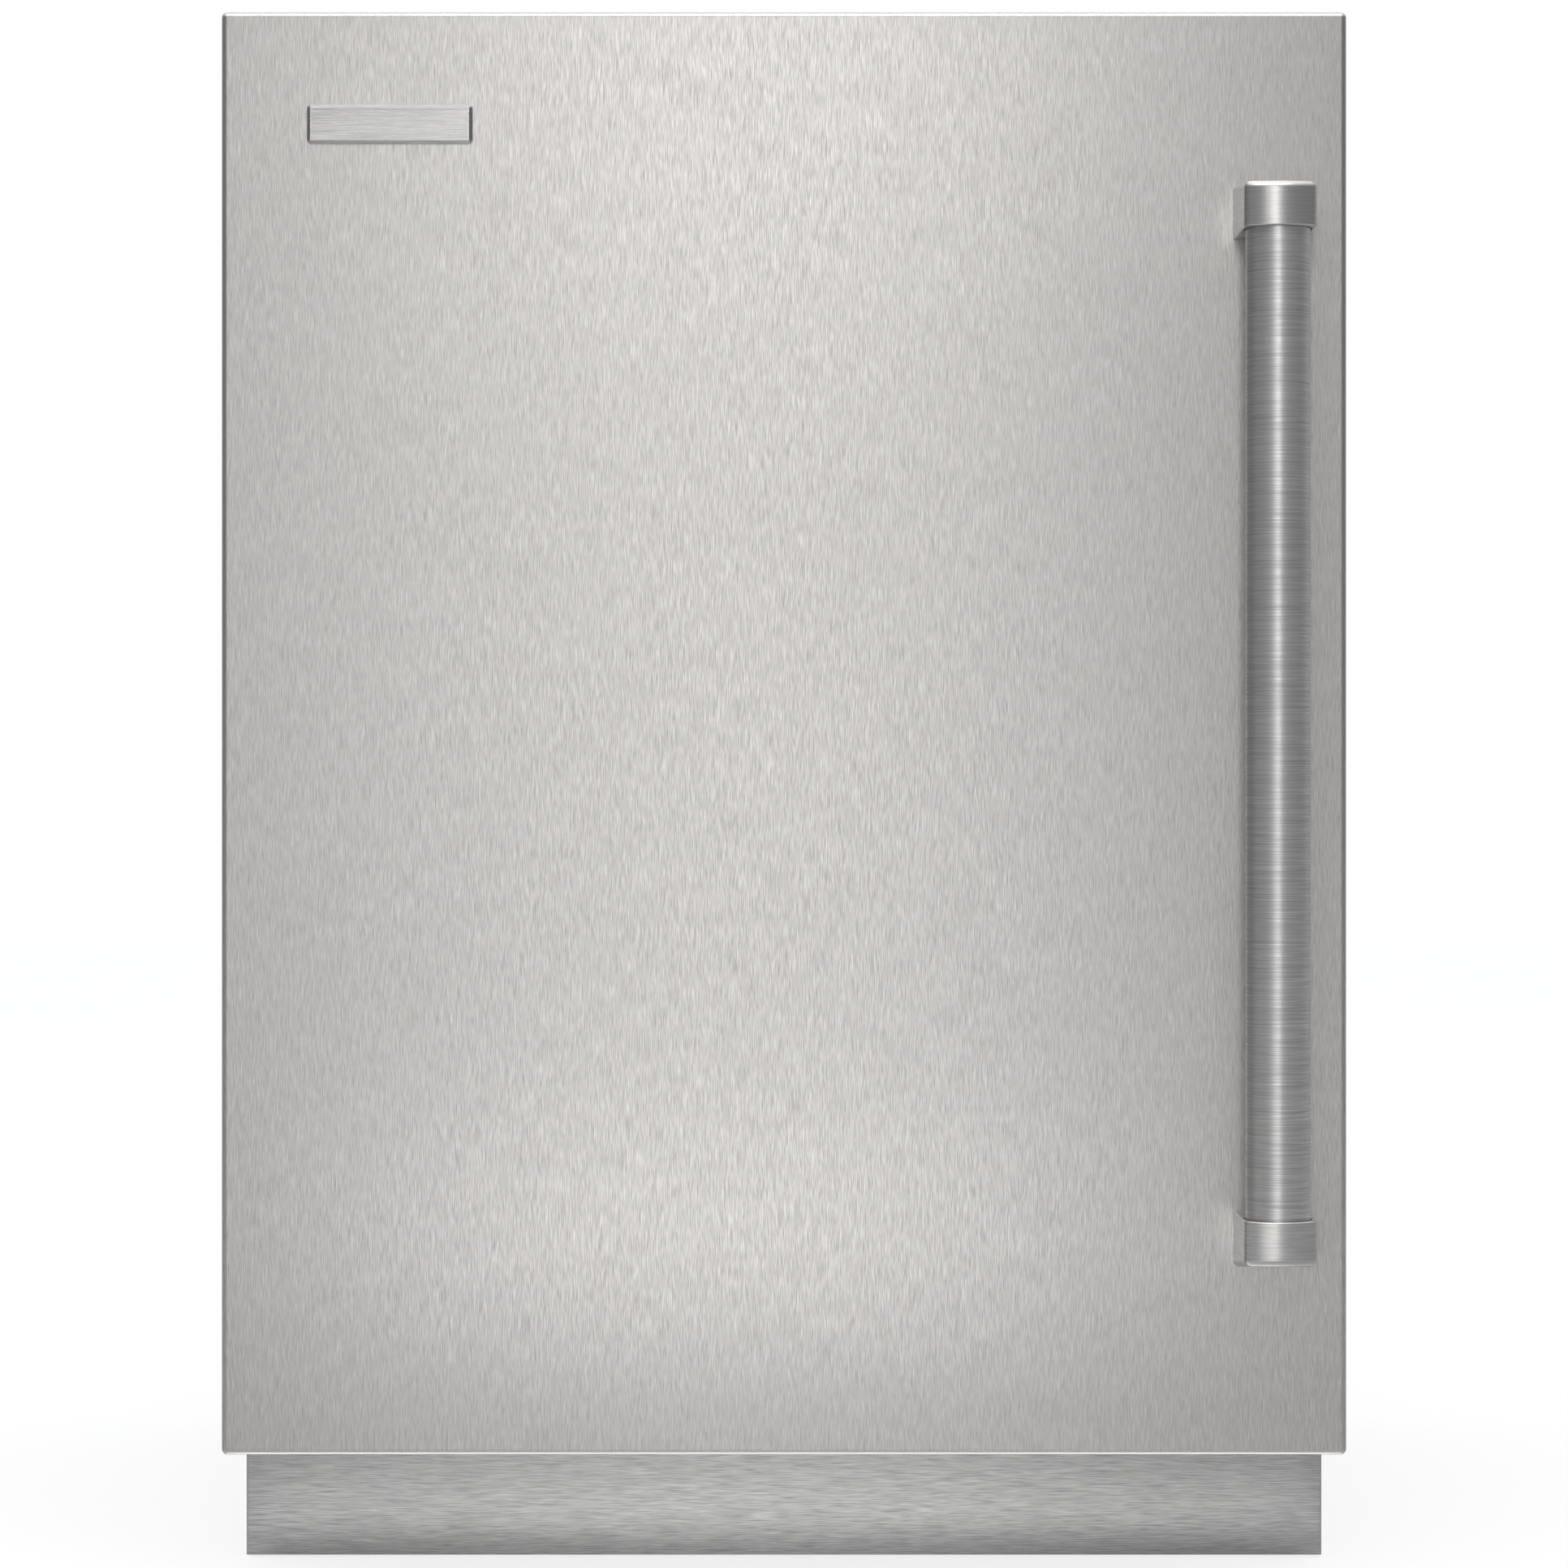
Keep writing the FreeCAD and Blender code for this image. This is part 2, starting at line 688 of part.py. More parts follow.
def bin_lug(level):
    """Moulded peg on the inner side of the door's right pillar. A bin's hook rests on it."""
    wall = dike_outer[1] - dike_width
    return block((wall - 4.5, wall + 0.5), hook_depth, (level - 14.0, level))


def door_liner():
    """Thermoformed inner face of the door, with the raised ring that carries the bins."""
    face = block(
        (-cabinet_half_width, cabinet_half_width),
        (door_back - liner_sheet, door_back),
        (door_core_bottom, door_core_top),
    )
    lugs = [bin_lug(low + 40.0 - running_gap) for low, high in bins.values()]
    lugs += [mirror_x(lug) for lug in lugs]
    body = face.fuse([dike_ring(0, dike_reach)] + lugs).removeSplitter()
    return body.cut(dike_ring(dike_skin, dike_reach - dike_skin))


def door_foam():
    tray_fill = block(
        (-door_half_width + door_skin, door_half_width - door_skin),
        (door_face + door_skin, door_face + tray_depth),
        (door_core_bottom, door_core_top),
    )
    front = edges_where(tray_fill, lambda b: b.YMax < door_face + door_skin + 1e-3 and b.ZLength > 1)
    tray_fill = tray_fill.makeFillet(1.8, front)
    core = block(
        (-cabinet_half_width + edge_ring, cabinet_half_width - edge_ring),
        (door_face + tray_depth, door_back - liner_sheet),
        (door_core_bottom + edge_ring, door_core_top - edge_ring),
    )
    screws = [
        rod(3.1, 30, (handle_x, door_face - 1, z), along_y) for z in handle_screw_levels
    ]
    heads = [
        rod(7.1, 2.6, (handle_x, door_face + door_skin, z), along_y)
        for z in handle_screw_levels
    ]
    body = joined([tray_fill, core, dike_ring(dike_skin, dike_reach - dike_skin)])
    return body.cut(screws + heads)


def door_gasket():
    """Magnetic seal: a rubber ring with a bellows groove on each side."""
    inner_half, outer_half = gasket_half
    depth = (door_back, cabinet_front - running_gap)
    bellows = (door_back + 4.0, door_back + 7.5)
    groove = 3.5

    def window(half, across):
        spread = half - inner_half
        return block((-half, half), across, (face_bottom - spread, face_top + spread))

    def ring(outer, inner, across):
        return window(outer, across).cut(window(inner, (across[0] - 1, across[1] + 1)))

    grooves = [
        ring(outer_half + 1, outer_half - groove, bellows),
        ring(inner_half + groove, inner_half - 1, bellows),
    ]
    return ring(outer_half, inner_half, depth).cut(grooves)


def door_bin(low, high):
    """Clear tub that hangs on the door ring by a hook at each side."""
    tub = open_tub((-bin_half, bin_half), (bin_back, bin_front), (low, high))
    relief = block(
        (-bin_half + 30, bin_half - 30), (bin_back - 1, bin_back + tub_wall + 1),
        (high - 30.0, high + 1),
    )
    hook = block((bin_half - 1.0, bin_half + 5.0), hook_depth, (low + 40.0, low + 70.0))
    return joined([tub.cut(relief), hook, mirror_x(hook)])


def bin_rails():
    """Steel trim bar along the top front edge of each bin."""
    return {
        name: rounded_block(
            (-bin_half + 16, bin_half - 16), (bin_front, bin_front + 3.0),
            (high - 22.0, high - 4.0), "x", 1.2,
        )
        for name, (low, high) in bins.items()
    }


# ---- Handle and badge --------------------------------------------------------------------------------
def handle_cap(front_level, inner_level):
    """End bracket of the handle. Its outer end falls towards the front, and the bar plugs into it."""
    direction = 1 if front_level > inner_level else -1
    slope = math.tan(math.radians(handle_cap_slope)) * handle_reach
    back_level = front_level + direction * slope
    far_level = max(front_level, back_level) + 5 if direction > 0 else min(front_level, back_level) - 5
    low, high = min(inner_level, far_level), max(inner_level, far_level)
    half = handle_cap_half
    width = (handle_x - half, handle_x + half)
    arc_centre = handle_front + handle_cap_front_radius
    nose = rod(handle_cap_front_radius, high - low, (handle_x, arc_centre, low))
    nose = nose.common(block(width, (handle_front, arc_centre), (low, high)))
    body = joined([nose, block(width, (arc_centre, door_face), (low, high))])
    front_corners = edges_where(body, lambda b: runs_along(b, "z") and b.YMax < arc_centre - 1)
    body = body.makeFillet(handle_cap_corner, front_corners)
    margin = 2.0
    rise = slope * margin / handle_reach
    profile = [
        (width[0] - margin, handle_front - margin, inner_level),
        (width[0] - margin, handle_front - margin, front_level - direction * rise),
        (width[0] - margin, door_face + margin, back_level + direction * rise),
        (width[0] - margin, door_face + margin, inner_level),
    ]
    wedge = prism(profile, Vector(2 * (half + margin), 0, 0))
    body = body.common(wedge).removeSplitter()
    outer_rim = [
        edge for edge in body.Edges
        if (edge.CenterOfMass.z - inner_level) * direction > 12
        and edge.BoundBox.ZLength < abs(slope) + 1
        and edge.BoundBox.YMin < door_face - 1
    ]
    body = body.makeFillet(3.6, outer_rim)
    inner_rim = [
        edge for edge in body.Edges
        if edge.BoundBox.ZLength < 1e-3
        and abs(edge.BoundBox.ZMin - inner_level) < 1e-3
        and edge.BoundBox.YMin < door_face - 1
    ]
    body = body.makeFillet(0.8, inner_rim)
    socket_start = min(inner_level, inner_level + direction * handle_socket)
    socket = rod(handle_bar_radius, handle_socket, (handle_x, handle_centre_y, socket_start))
    relief_width, relief_depth = socket_relief
    relief = rod(
        handle_bar_radius + relief_width, 2 * relief_depth,
        (handle_x, handle_centre_y, inner_level - relief_depth),
    )
    level = handle_screw_levels[1] if direction > 0 else handle_screw_levels[0]
    screw_hole = rod(3.0, 16.0, (handle_x, door_face - 16.0, level), along_y)
    return body.cut([socket, relief, screw_hole])


def handle_bar():
    low = handle_bottom + handle_cap_height - handle_socket
    high = handle_top - handle_cap_height + handle_socket
    return tube(
        handle_bar_radius, handle_bar_radius - handle_bar_wall, high - low,
        (handle_x, handle_centre_y, low),
    )


def handle_screws():
    """Screws from inside the door's skin into the caps."""
    return group([
        screw(
            (handle_x, door_face + door_skin, z), -along_y,
            head_radius=7.0, head=2.5, shank_radius=3.0, shank=door_skin + 15.0,
        )
        for z in handle_screw_levels
    ])


def badge_plate():
    """Plain name plate: a raised border round a sunken panel, left blank."""
    width, height, depth = badge_size
    x, z = badge_centre
    plate = block(
        (x - width / 2, x + width / 2), (door_face - depth, door_face),
        (z - height / 2, z + height / 2),
    )
    plate = plate.makeFillet(badge_corner, edges_where(plate, lambda b: runs_along(b, "y")))
    rim = edges_where(plate, lambda b: b.YMax < door_face - depth + 1e-3)
    plate = plate.makeChamfer(badge_chamfer, rim)
    margin = badge_chamfer + badge_border
    panel = block(
        (x - width / 2 + margin, x + width / 2 - margin),
        (door_face - depth - 1, door_face - depth + 0.5),
        (z - height / 2 + margin, z + height / 2 - margin),
    )
    return plate.cut(panel)


# ---- Shelves, drawer and controls ------------------------------------------------------------------------
def shelf_glass_panel(level):
    return rounded_block(
        (-shelf_half, shelf_half), shelf_depths[level], (level, level + shelf_glass), "z", 4.0
    )


def shelf_trims():
    """Channel along the front edge and raised stop along the back edge of each shelf."""
    trims = []
    for level, (front, back) in shelf_depths.items():
        glass = shelf_glass_panel(level)
        nose = rounded_block(
            (-shelf_half, shelf_half), (front - 7.0, front + 6.0), (level - 5.0, level + 8.0),
            "x", 2.5,
        )
        stop = rounded_block(
            (-shelf_half + 8, shelf_half - 8), (back - 4.0, back + 6.0),
            (level - 0.4, level + 12.0), "x", 0.35,
        )
        trims += [nose.cut(glass), stop.cut(glass)]
    return group(trims)


def drawer_rails():
    rail = block((238.0, cavity_half_width), (-145.0, 108.0), (rail_top - 6.0, rail_top))
    return both_sides(rail)


def crisper_drawer():
    """Clear drawer that hangs from its side lips on the rails."""
    tub = open_tub(
        (-drawer_half, drawer_half), (drawer_front, drawer_back), (drawer_floor, drawer_rim)
    )
    lip = block((drawer_half - 1.0, drawer_half + 14.0), (drawer_front + 12, drawer_back - 12),
                (rail_top + running_gap, drawer_rim))
    pull = block((-110.0, 110.0), (drawer_front - 8.0, drawer_front + 1),
                 (drawer_rim - 4.0, drawer_rim))
    pull_drop = block((-110.0, 110.0), (drawer_front - 8.0, drawer_front - 5.5),
                      (drawer_rim - 16.0, drawer_rim))
    return joined([tub, lip, mirror_x(lip), pull, pull_drop])


housing_half = 190.0
housing_depth = (-108.0, 40.0)
housing_height = (764.0, cavity_ceiling)
button_places = {"power": -20.0, "colder": 22.0, "warmer": 64.0}
button_level = 780.0
button_radius = 7.0
lens_size = (100.0, -70.0, -15.0)      # half width, front, back
display_place = (-150.0, -60.0, 772.0, 789.0)


def control_housing():
    """Moulded box under the ceiling that holds the controls and the light."""
    outer = block((-housing_half, housing_half), housing_depth, housing_height)
    outer = outer.makeFillet(
        4.0, edges_where(outer, lambda b: runs_along(b, "x") and b.ZMax < housing_height[0] + 1)
    )
    inner = block(
        (-housing_half + plastic, housing_half - plastic),
        (housing_depth[0] + plastic, housing_depth[1] - plastic),
        (housing_height[0] + plastic, housing_height[1] + 1),
    )
    cuts = [inner]
    for x in button_places.values():
        cuts.append(
            rod(button_radius + running_gap, 8, (x, housing_depth[0] - 2, button_level), along_y)
        )
    half, front, back = lens_size
    cuts.append(block((-half, half), (front, back), (housing_height[0] - 1, housing_height[0] + 4)))
    left, right, low, high = display_place
    cuts.append(
        block((left, right), (housing_depth[0] - 1, housing_depth[0] + 1.5), (low, high))
    )
    return outer.cut(cuts)


def display_window():
    left, right, low, high = display_place
    return block((left, right), (housing_depth[0] - 0.4, housing_depth[0] + 1.5), (low, high))


def light_lens():
    half, front, back = lens_size
    lens = block((-half, half), (front, back), (housing_height[0] - 1.5, housing_height[0] + plastic))
    return lens.makeFillet(1.0, edges_where(lens, lambda b: b.ZMax < housing_height[0] - 1.4))


def control_board():
    """Circuit board behind the buttons, with a switch for each."""
    board = block((-160.0, 100.0), (-90.0, -88.4), (housing_height[0] + plastic, 793.0))
    switches = [
        block((x - 3, x + 3), (-92.2, -90.0), (button_level - 3, button_level + 3))
        for x in button_places.values()
    ]
    return joined([board] + switches)


def button(x):
    """Round push button with a domed face and a stem that reaches the board's switch."""
    front = housing_depth[0] - 2.6
    cap = rod(button_radius, 8.0, (x, front, button_level), along_y)
    cap = cap.makeFillet(1.2, edges_where(cap, lambda b: b.YMax < front + 1e-3))
    collar = rod(button_radius + 1.6, 1.2, (x, housing_depth[0] + plastic + 0.3, button_level), along_y)
    stem = rod(2.5, 9.5, (x, front + 7.0, button_level), along_y)
    return joined([cap, collar, stem])


# ---- Cooling circuit ---------------------------------------------------------------------------------------
condenser_levels = [60.0 + 25.0 * number for number in range(6)]
condenser_x = (30.0, 225.0)
liquid_level = 38.0
condenser_y = 248.0
compressor_place = (-165.0, 246.0)


def evaporator_coil():
    """Serpentine tube with its fins."""
    pipework = serpentine((coil_left, -coil_left), coil_y, coil_levels, suction_radius)
    fins = fin_stack(
        (-140.0, 140.0), (257.0, cavity_back), (378.0, 532.0), 25, 0.8,
        coil_y, coil_levels, suction_radius + 0.1,
    )
    return group([pipework] + fins)


def evaporator_cover():
    """Moulded cover over the coil and fan, with air slots and a fan grille."""
    depth = (250.0, cavity_back)
    outer = block((-215.0, 215.0), depth, (345.0, 775.0))
    outer = outer.makeFillet(
        6.0, edges_where(outer, lambda b: b.YMax < depth[0] + 1e-3 or runs_along(b, "y"))
    )
    inner = block(
        (-212.5, 212.5), (depth[0] + plastic, cavity_back + 1), (347.5, 772.5)
    )
    cuts = [inner]
    for number in range(-7, 8):
        for low, high in ((362.0, 402.0), (728.0, 756.0)):
            cuts.append(
                block((number * 24.0 - 4, number * 24.0 + 4), (248.0, 254.0), (low, high))
            )
    x, y, z, reach = evaporator_fan
    for number in range(-5, 6):
        level = number * 9.0
        half = math.sqrt((reach + 2) ** 2 - level**2)
        cuts.append(
            block((x - half, x + half), (248.0, 254.0), (z + level - 2.6, z + level + 2.6))
        )
    return outer.cut(cuts)


def evaporator_fan_frame():
    """Square fan frame with its motor on four struts."""
    x, y, z, reach = evaporator_fan
    depth = (250.0 + plastic, 281.0)
    frame = rounded_block((x - 60, x + 60), depth, (z - 60, z + 60), "y", 6.0)
    frame = frame.cut(rod(reach + 2.5, 40, (x, depth[0] - 5, z), along_y))
    motor = rod(18.0, 10.0, (x, 271.0, z), along_y)
    shaft = rod(1.5, 10.5, (x, 261.5, z), along_y)
    struts = []
    for number in range(4):
        strut = block((15.0, reach + 4), (275.0, 280.0), (-2.5, 2.5))
        strut.rotate(Vector(0, 0, 0), along_y, 45.0 + 90.0 * number)
        strut.translate(Vector(x, 0, z))
        struts.append(strut)
    return joined([frame, motor, shaft] + struts)


def evaporator_fan_blade():
    x, y, z, reach = evaporator_fan
    return fan_blade((x, 270.5, z), -along_y, reach, 16.0, 13.5, 7, 32.0, 1.55)


def condenser_coil():
    """Serpentine tube with its fins, on two end plates that stand on the base plate."""
    pipework = serpentine(condenser_x, condenser_y, condenser_levels, 4.0)
    fins = fin_stack(
        (43.0, 212.0), (205.0, 290.0), (48.0, 197.0), 19, 0.8,
        condenser_y, condenser_levels, 4.1,
    )
    plates = fin_stack(
        (38.0, 217.0), (203.0, 292.0), (base_height + base_sheet, 200.0), 2, 1.5,
        condenser_y, condenser_levels + [liquid_level], 4.1,
    )
    return group([pipework] + fins + plates)


def condenser_fan_frame():
    """Fan shroud on the base plate, with the motor on four struts."""
    x, y, z, reach = condenser_fan
    width = (x - 8.0, x + 14.0)
    frame = block(width, (y - 68, y + 68), (base_height + base_sheet, z + 68))
    frame = frame.cut(rod(reach + 3, 60, (x - 20, y, z), along_x))
    motor = rod(22.0, 26.0, (x - 34.0, y, z), along_x)
    shaft = rod(2.0, 14.0, (x - 10.0, y, z), along_x)
    struts = []
    for number in range(4):
        strut = block((x - 14.0, x - 7.0), (18.0, reach + 8), (-3.0, 3.0))
        strut.rotate(Vector(0, 0, 0), along_x, 45.0 + 90.0 * number)
        strut.translate(Vector(0, y, z))
        struts.append(strut)
    return joined([frame, motor, shaft] + struts)


def condenser_fan_blade():
    x, y, z, reach = condenser_fan
    return fan_blade((x - 6.0, y, z), along_x, reach, 18.0, 16.0, 5, 30.0, 2.05)


def compressor():
    """Hermetic compressor: domed can with its seam and foot plate."""
    x, y = compressor_place
    can = rod(62.0, 132.0, (x, y, 56.0))
    can = can.makeFillet(26.0, edges_where(can, lambda b: b.ZLength < 1e-3))
    seam = rod(65.0, 5.0, (x, y, 118.0))
    plate = block((x - 82, x + 82), (y - 52, y + 52), (44.0, 47.0))
    stand = rod(36.0, 14.0, (x, y, 44.0))
    bolts = [
        rod(5.0, 10, (x + a, y + b, 40.0)) for a in (-70.0, 70.0) for b in (-40.0, 40.0)
    ]
    port = rod(4.0, 14.0, (x + 22.0, y - 22.0, 180.0))
    fence = block((x - 65.2, x - 55.0), (y - 16.0, y + 22.0), (90.0, 140.0))
    return joined([can, seam, plate, stand, port, fence]).cut(bolts + [suction_run(0)])


def compressor_grommets():
    """Rubber mounts under the foot plate, on their studs."""
    x, y = compressor_place
    low = base_height + base_sheet
    return group([
        joined([
            rod(11.0, 44.0 - low, (x + a, y + b, low)),
            rod(4.9, 10.0, (x + a, y + b, 40.0)),
            rod(8.0, 3.0, (x + a, y + b, 47.0)),
        ])
        for a in (-70.0, 70.0) for b in (-40.0, 40.0)
    ])


def start_relay():
    x, y = compressor_place
    return rounded_block((x - 92, x - 65.2), (y - 20, y + 26), (85.0, 145.0), "x", 4.0)


def refrigerant_lines():
    """Suction, discharge and liquid lines, and the drier at the condenser's outlet."""
    x, y = compressor_place
    coil_start, coil_end = condenser_levels[0], condenser_levels[-1]
    left, drier_x = condenser_x[0], 256.0
    discharge = pipe(
        [(x + 22, y - 22, 194), (x + 22, y - 22, 206), (x + 22, condenser_y, 206),
         (left - 8, condenser_y, 206), (left - 8, condenser_y, coil_end),
         (left, condenser_y, coil_end)],
        3.0, 3.5,
    )
    liquid = pipe(
        [(left, condenser_y, coil_start), (left - 8, condenser_y, coil_start),
         (left - 8, condenser_y, liquid_level), (drier_x, condenser_y, liquid_level),
         (drier_x, condenser_y, 60)],
        3.0, 3.5,
    )
    drier = joined([
        rod(10.0, 62.0, (drier_x, condenser_y, 70.0)),
        rod(4.0, 12.0, (drier_x, condenser_y, 130.0)),
        rod(4.0, 12.0, (drier_x, condenser_y, 60.0)),
    ])
    return group([suction_run(0), discharge, liquid, drier])


def drain_tube():
    x, y = drain_place
    body = rod(drain_radius, 80.0, (x, y, 226.0))
    lip = rod(10.0, 1.2, (x, y, step_top))
    return joined([body, lip]).cut(rod(5.5, 100.0, (x, y, 220.0)))


def drain_pan():
    """Evaporation tray over the compressor."""
    x, y = compressor_place
    outer = rounded_block((x - 80, x + 80), (y - 66, y + 30), (212.0, 236.0), "z", 10.0)
    inner = rounded_block((x - 78, x + 78), (y - 64, y + 28), (214.0, 237.0), "z", 8.0)
    return outer.cut(inner)


# ---- Assembly ------------------------------------------------------------------------------------------------
def all_parts():
    made = {
        "outer_shell": outer_shell(),
        "floor_pan": floor_pan(),
        "back_panel": back_panel(),
        "rear_cover": rear_cover(),
        "rear_spacers": rear_spacers(),
        "cord_gland": cord_gland(),
        "base_frame": base_frame(),
        "machine_base_plate": machine_base_plate(),
        "toe_kick": toe_kick(),
        "toe_kick_clips": toe_kick_clips(),
        "liner": liner(),
        "insulation_foam": insulation_foam(),
        "hinge_bracket_top": hinge_bracket_top(),
        "hinge_bracket_bottom": hinge_bracket_bottom(),
        "hinge_pins": hinge_pins(),
        "hinge_bushings": hinge_bushings(),
        "casing_screws": casing_screws(),
        "anti_tip_brackets": anti_tip_brackets(),
        "door_panel": door_panel(),
        "door_edge_frame": door_edge_frame(),
        "door_liner": door_liner(),
        "door_foam": door_foam(),
        "door_gasket": door_gasket(),
        "handle_bar": handle_bar(),
        "handle_cap_top": handle_cap(handle_top, handle_top - handle_cap_height),
        "handle_cap_bottom": handle_cap(handle_bottom, handle_bottom + handle_cap_height),
        "handle_screws": handle_screws(),
        "badge_plate": badge_plate(),
        "shelf_glass": group([shelf_glass_panel(level) for level in shelf_depths]),
        "shelf_trims": shelf_trims(),
        "drawer_rails": drawer_rails(),
        "crisper_drawer": crisper_drawer(),
        "control_housing": control_housing(),
        "control_board": control_board(),
        "display_window": display_window(),
        "light_lens": light_lens(),
        "evaporator_coil": evaporator_coil(),
        "evaporator_cover": evaporator_cover(),
        "evaporator_fan_frame": evaporator_fan_frame(),
        "evaporator_fan_blade": evaporator_fan_blade(),
        "condenser_coil": condenser_coil(),
        "condenser_fan_frame": condenser_fan_frame(),
        "condenser_fan_blade": condenser_fan_blade(),
        "compressor": compressor(),
        "compressor_grommets": compressor_grommets(),
        "start_relay": start_relay(),
        "refrigerant_lines": refrigerant_lines(),
        "drain_tube": drain_tube(),
        "drain_pan": drain_pan(),
    }
    for name, (low, high) in bins.items():
        made[f"door_bin_{name}"] = door_bin(low, high)
    for name, rail in bin_rails().items():
        made[f"bin_rail_{name}"] = rail
    for name, x in button_places.items():
        made[f"button_{name}"] = button(x)
    for name, (x, y) in foot_places.items():
        made[f"foot_{name}"] = levelling_foot(x, y)
    return made


def main():
    os.makedirs("parts", exist_ok=True)
    for old in os.listdir("parts"):
        os.remove(os.path.join("parts", old))
    made = all_parts()
    for name, shape in sorted(made.items()):
        whole = all(solid.isValid() and solid.Volume > 0 for solid in shape.Solids)
        shape.exportStep(f"parts/{name}.step")
        state = "ok" if whole and shape.Solids else "BROKEN"
        print(f"{name:22s} {len(shape.Solids):3d} solids {shape.Volume / 1000:10.1f} cm3 {state}")
    print(len(made), "nodes")


main()
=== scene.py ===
import math

import bmesh
import bpy
from mathutils import Matrix, Vector


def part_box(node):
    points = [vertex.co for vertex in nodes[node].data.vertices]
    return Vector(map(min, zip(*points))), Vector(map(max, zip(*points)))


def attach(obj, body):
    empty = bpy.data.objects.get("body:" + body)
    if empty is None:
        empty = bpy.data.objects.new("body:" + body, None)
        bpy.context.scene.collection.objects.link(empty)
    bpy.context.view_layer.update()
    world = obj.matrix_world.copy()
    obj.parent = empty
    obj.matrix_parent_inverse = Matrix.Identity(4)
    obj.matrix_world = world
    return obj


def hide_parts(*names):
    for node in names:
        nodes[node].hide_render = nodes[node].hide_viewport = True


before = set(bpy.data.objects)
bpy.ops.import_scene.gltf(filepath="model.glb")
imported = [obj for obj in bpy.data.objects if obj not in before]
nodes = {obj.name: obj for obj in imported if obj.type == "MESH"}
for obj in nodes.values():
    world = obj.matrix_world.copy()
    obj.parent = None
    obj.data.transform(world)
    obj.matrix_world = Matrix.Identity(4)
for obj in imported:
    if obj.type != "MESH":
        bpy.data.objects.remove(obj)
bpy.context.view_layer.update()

scene = bpy.context.scene
mm = 0.001


# sRGB hex to linear colour
def hexColour(code, alpha=1.0):
    channels = [int(code[i:i + 2], 16) / 255 for i in (1, 3, 5)]
    linear = [c / 12.92 if c <= 0.04045 else ((c + 0.055) / 1.055) ** 2.4 for c in channels]
    return (*linear, alpha)


# adds a node; a socket takes a value, or a link when it is given another node's output
def addNode(tree, kind, sockets=None, **settings):
    node = tree.nodes.new(kind)
    for name, value in settings.items():
        setattr(node, name, value)
    for key, value in (sockets or {}).items():
        if isinstance(value, bpy.types.NodeSocket):
            tree.links.new(value, node.inputs[key])
        else:
            node.inputs[key].default_value = value
    return node


def newMaterial(name, **shaderValues):
    material = bpy.data.materials.new(name)
    material.use_nodes = True
    tree = material.node_tree
    tree.nodes.clear()
    shader = addNode(tree, "ShaderNodeBsdfPrincipled")
    for key, value in shaderValues.items():
        shader.inputs[key.replace("_", " ")].default_value = value
    addNode(tree, "ShaderNodeOutputMaterial", {"Surface": shader.outputs[0]})
    return material, tree, shader


# noise on Object coordinates; the three sizes are the pattern's real size along X, Y and Z
def sizedNoise(tree, sizes, detail=2.0, roughness=0.5, distortion=0.0):
    place = addNode(tree, "ShaderNodeTexCoord")
    scaled = addNode(tree, "ShaderNodeMapping",
                     {"Vector": place.outputs["Object"], "Scale": [1 / (size * mm) for size in sizes]})
    noise = addNode(tree, "ShaderNodeTexNoise",
                    {"Vector": scaled.outputs[0], "Scale": 1.0, "Detail": detail,
                     "Roughness": roughness, "Distortion": distortion})
    return noise.outputs["Fac"]


def spread(tree, value, low, high, newLow, newHigh):
    ranged = addNode(tree, "ShaderNodeMapRange", {"Value": value, 1: low, 2: high, 3: newLow, 4: newHigh})
    return ranged.outputs[0]


def colourBlend(tree, factor, first, second):
    ramp = addNode(tree, "ShaderNodeValToRGB", {"Fac": factor})
    ramp.color_ramp.elements[0].color = hexColour(first)
    ramp.color_ramp.elements[1].color = hexColour(second)
    return ramp.outputs[0]


def bump(tree, shader, height, strength, depthMm):
    node = addNode(tree, "ShaderNodeBump",
                   {"Strength": strength, "Distance": depthMm * mm, "Height": height})
    tree.links.new(node.outputs[0], shader.inputs["Normal"])


print("camera, light and floor")
stageValues = {
    "cameraDistance": 2.2,       # metres from the door's face
    "cameraHeight": 0.4331,
    "frameWidth": 0.84,          # width that the view takes in at the door's face
    "sensor": 36.0,
    "skyColour": "#f7f9fb",
    "skyLight": 1.08,            # what matt surfaces get from the pale room
    "reflectedFront": 0.2,       # what polished ones mirror of it, in front of the object
    "reflectedBack": 0.45,       # behind it
    "reflectedTop": 0.9,         # and added to both, overhead
    "floorRadius": 9.0,
    "floorColour": "#fcfcfb",
    # painted reflection shade: polished surfaces mirror the floor greyer away from the object than it is
    "floorMirrored": "#a6a6a6",  # the floor as polished surfaces mirror it, away from the object
    "floorNear": 0.15,           # metres from the object's middle where that shade begins
    "floorFar": 0.6,
    "floorBleach": 0.8,          # how far the camera's view of the floor fades to plain white
}
# name: place, size, power in watts, aimed at
# floorKey lifts the door's foot, and underDoor lights the bevel along its lower edge
softboxes = {
    "upperKey": ((0.0, -3.3, 1.55), (0.45, 1.2), 6.8, (0.0, 0.0, 1.2)),
    "lowerKey": ((0.0, -3.3, 0.42), (0.45, 0.84), 3.6, (0.0, 0.0, 0.42)),
    "floorKey": ((-0.05, -1.3, 0.07), (0.55, 0.12), 0.36, (-0.05, 0.0, 0.07)),
    "leftPanel": ((-0.62, -3.1, 1.0), (0.4, 1.8), 2.2, (-0.1, 0.0, 0.8)),
    "frontTop": ((0.0, -1.4, 2.3), (1.6, 0.6), 16.0, (0.0, -0.27, 0.8)),
    "underDoor": ((0.0, -0.262, 0.004), (0.62, 0.03), 0.15, (0.0, -0.262, 0.1)),
    "topPanel": ((0.0, -0.2, 2.9), (3.2, 2.4), 8.5, (0.0, -0.2, 0.0)),
    "backPanel": ((0.6, 3.6, 1.3), (2.6, 1.6), 5.5, (0.0, 0.0, 0.45)),
}


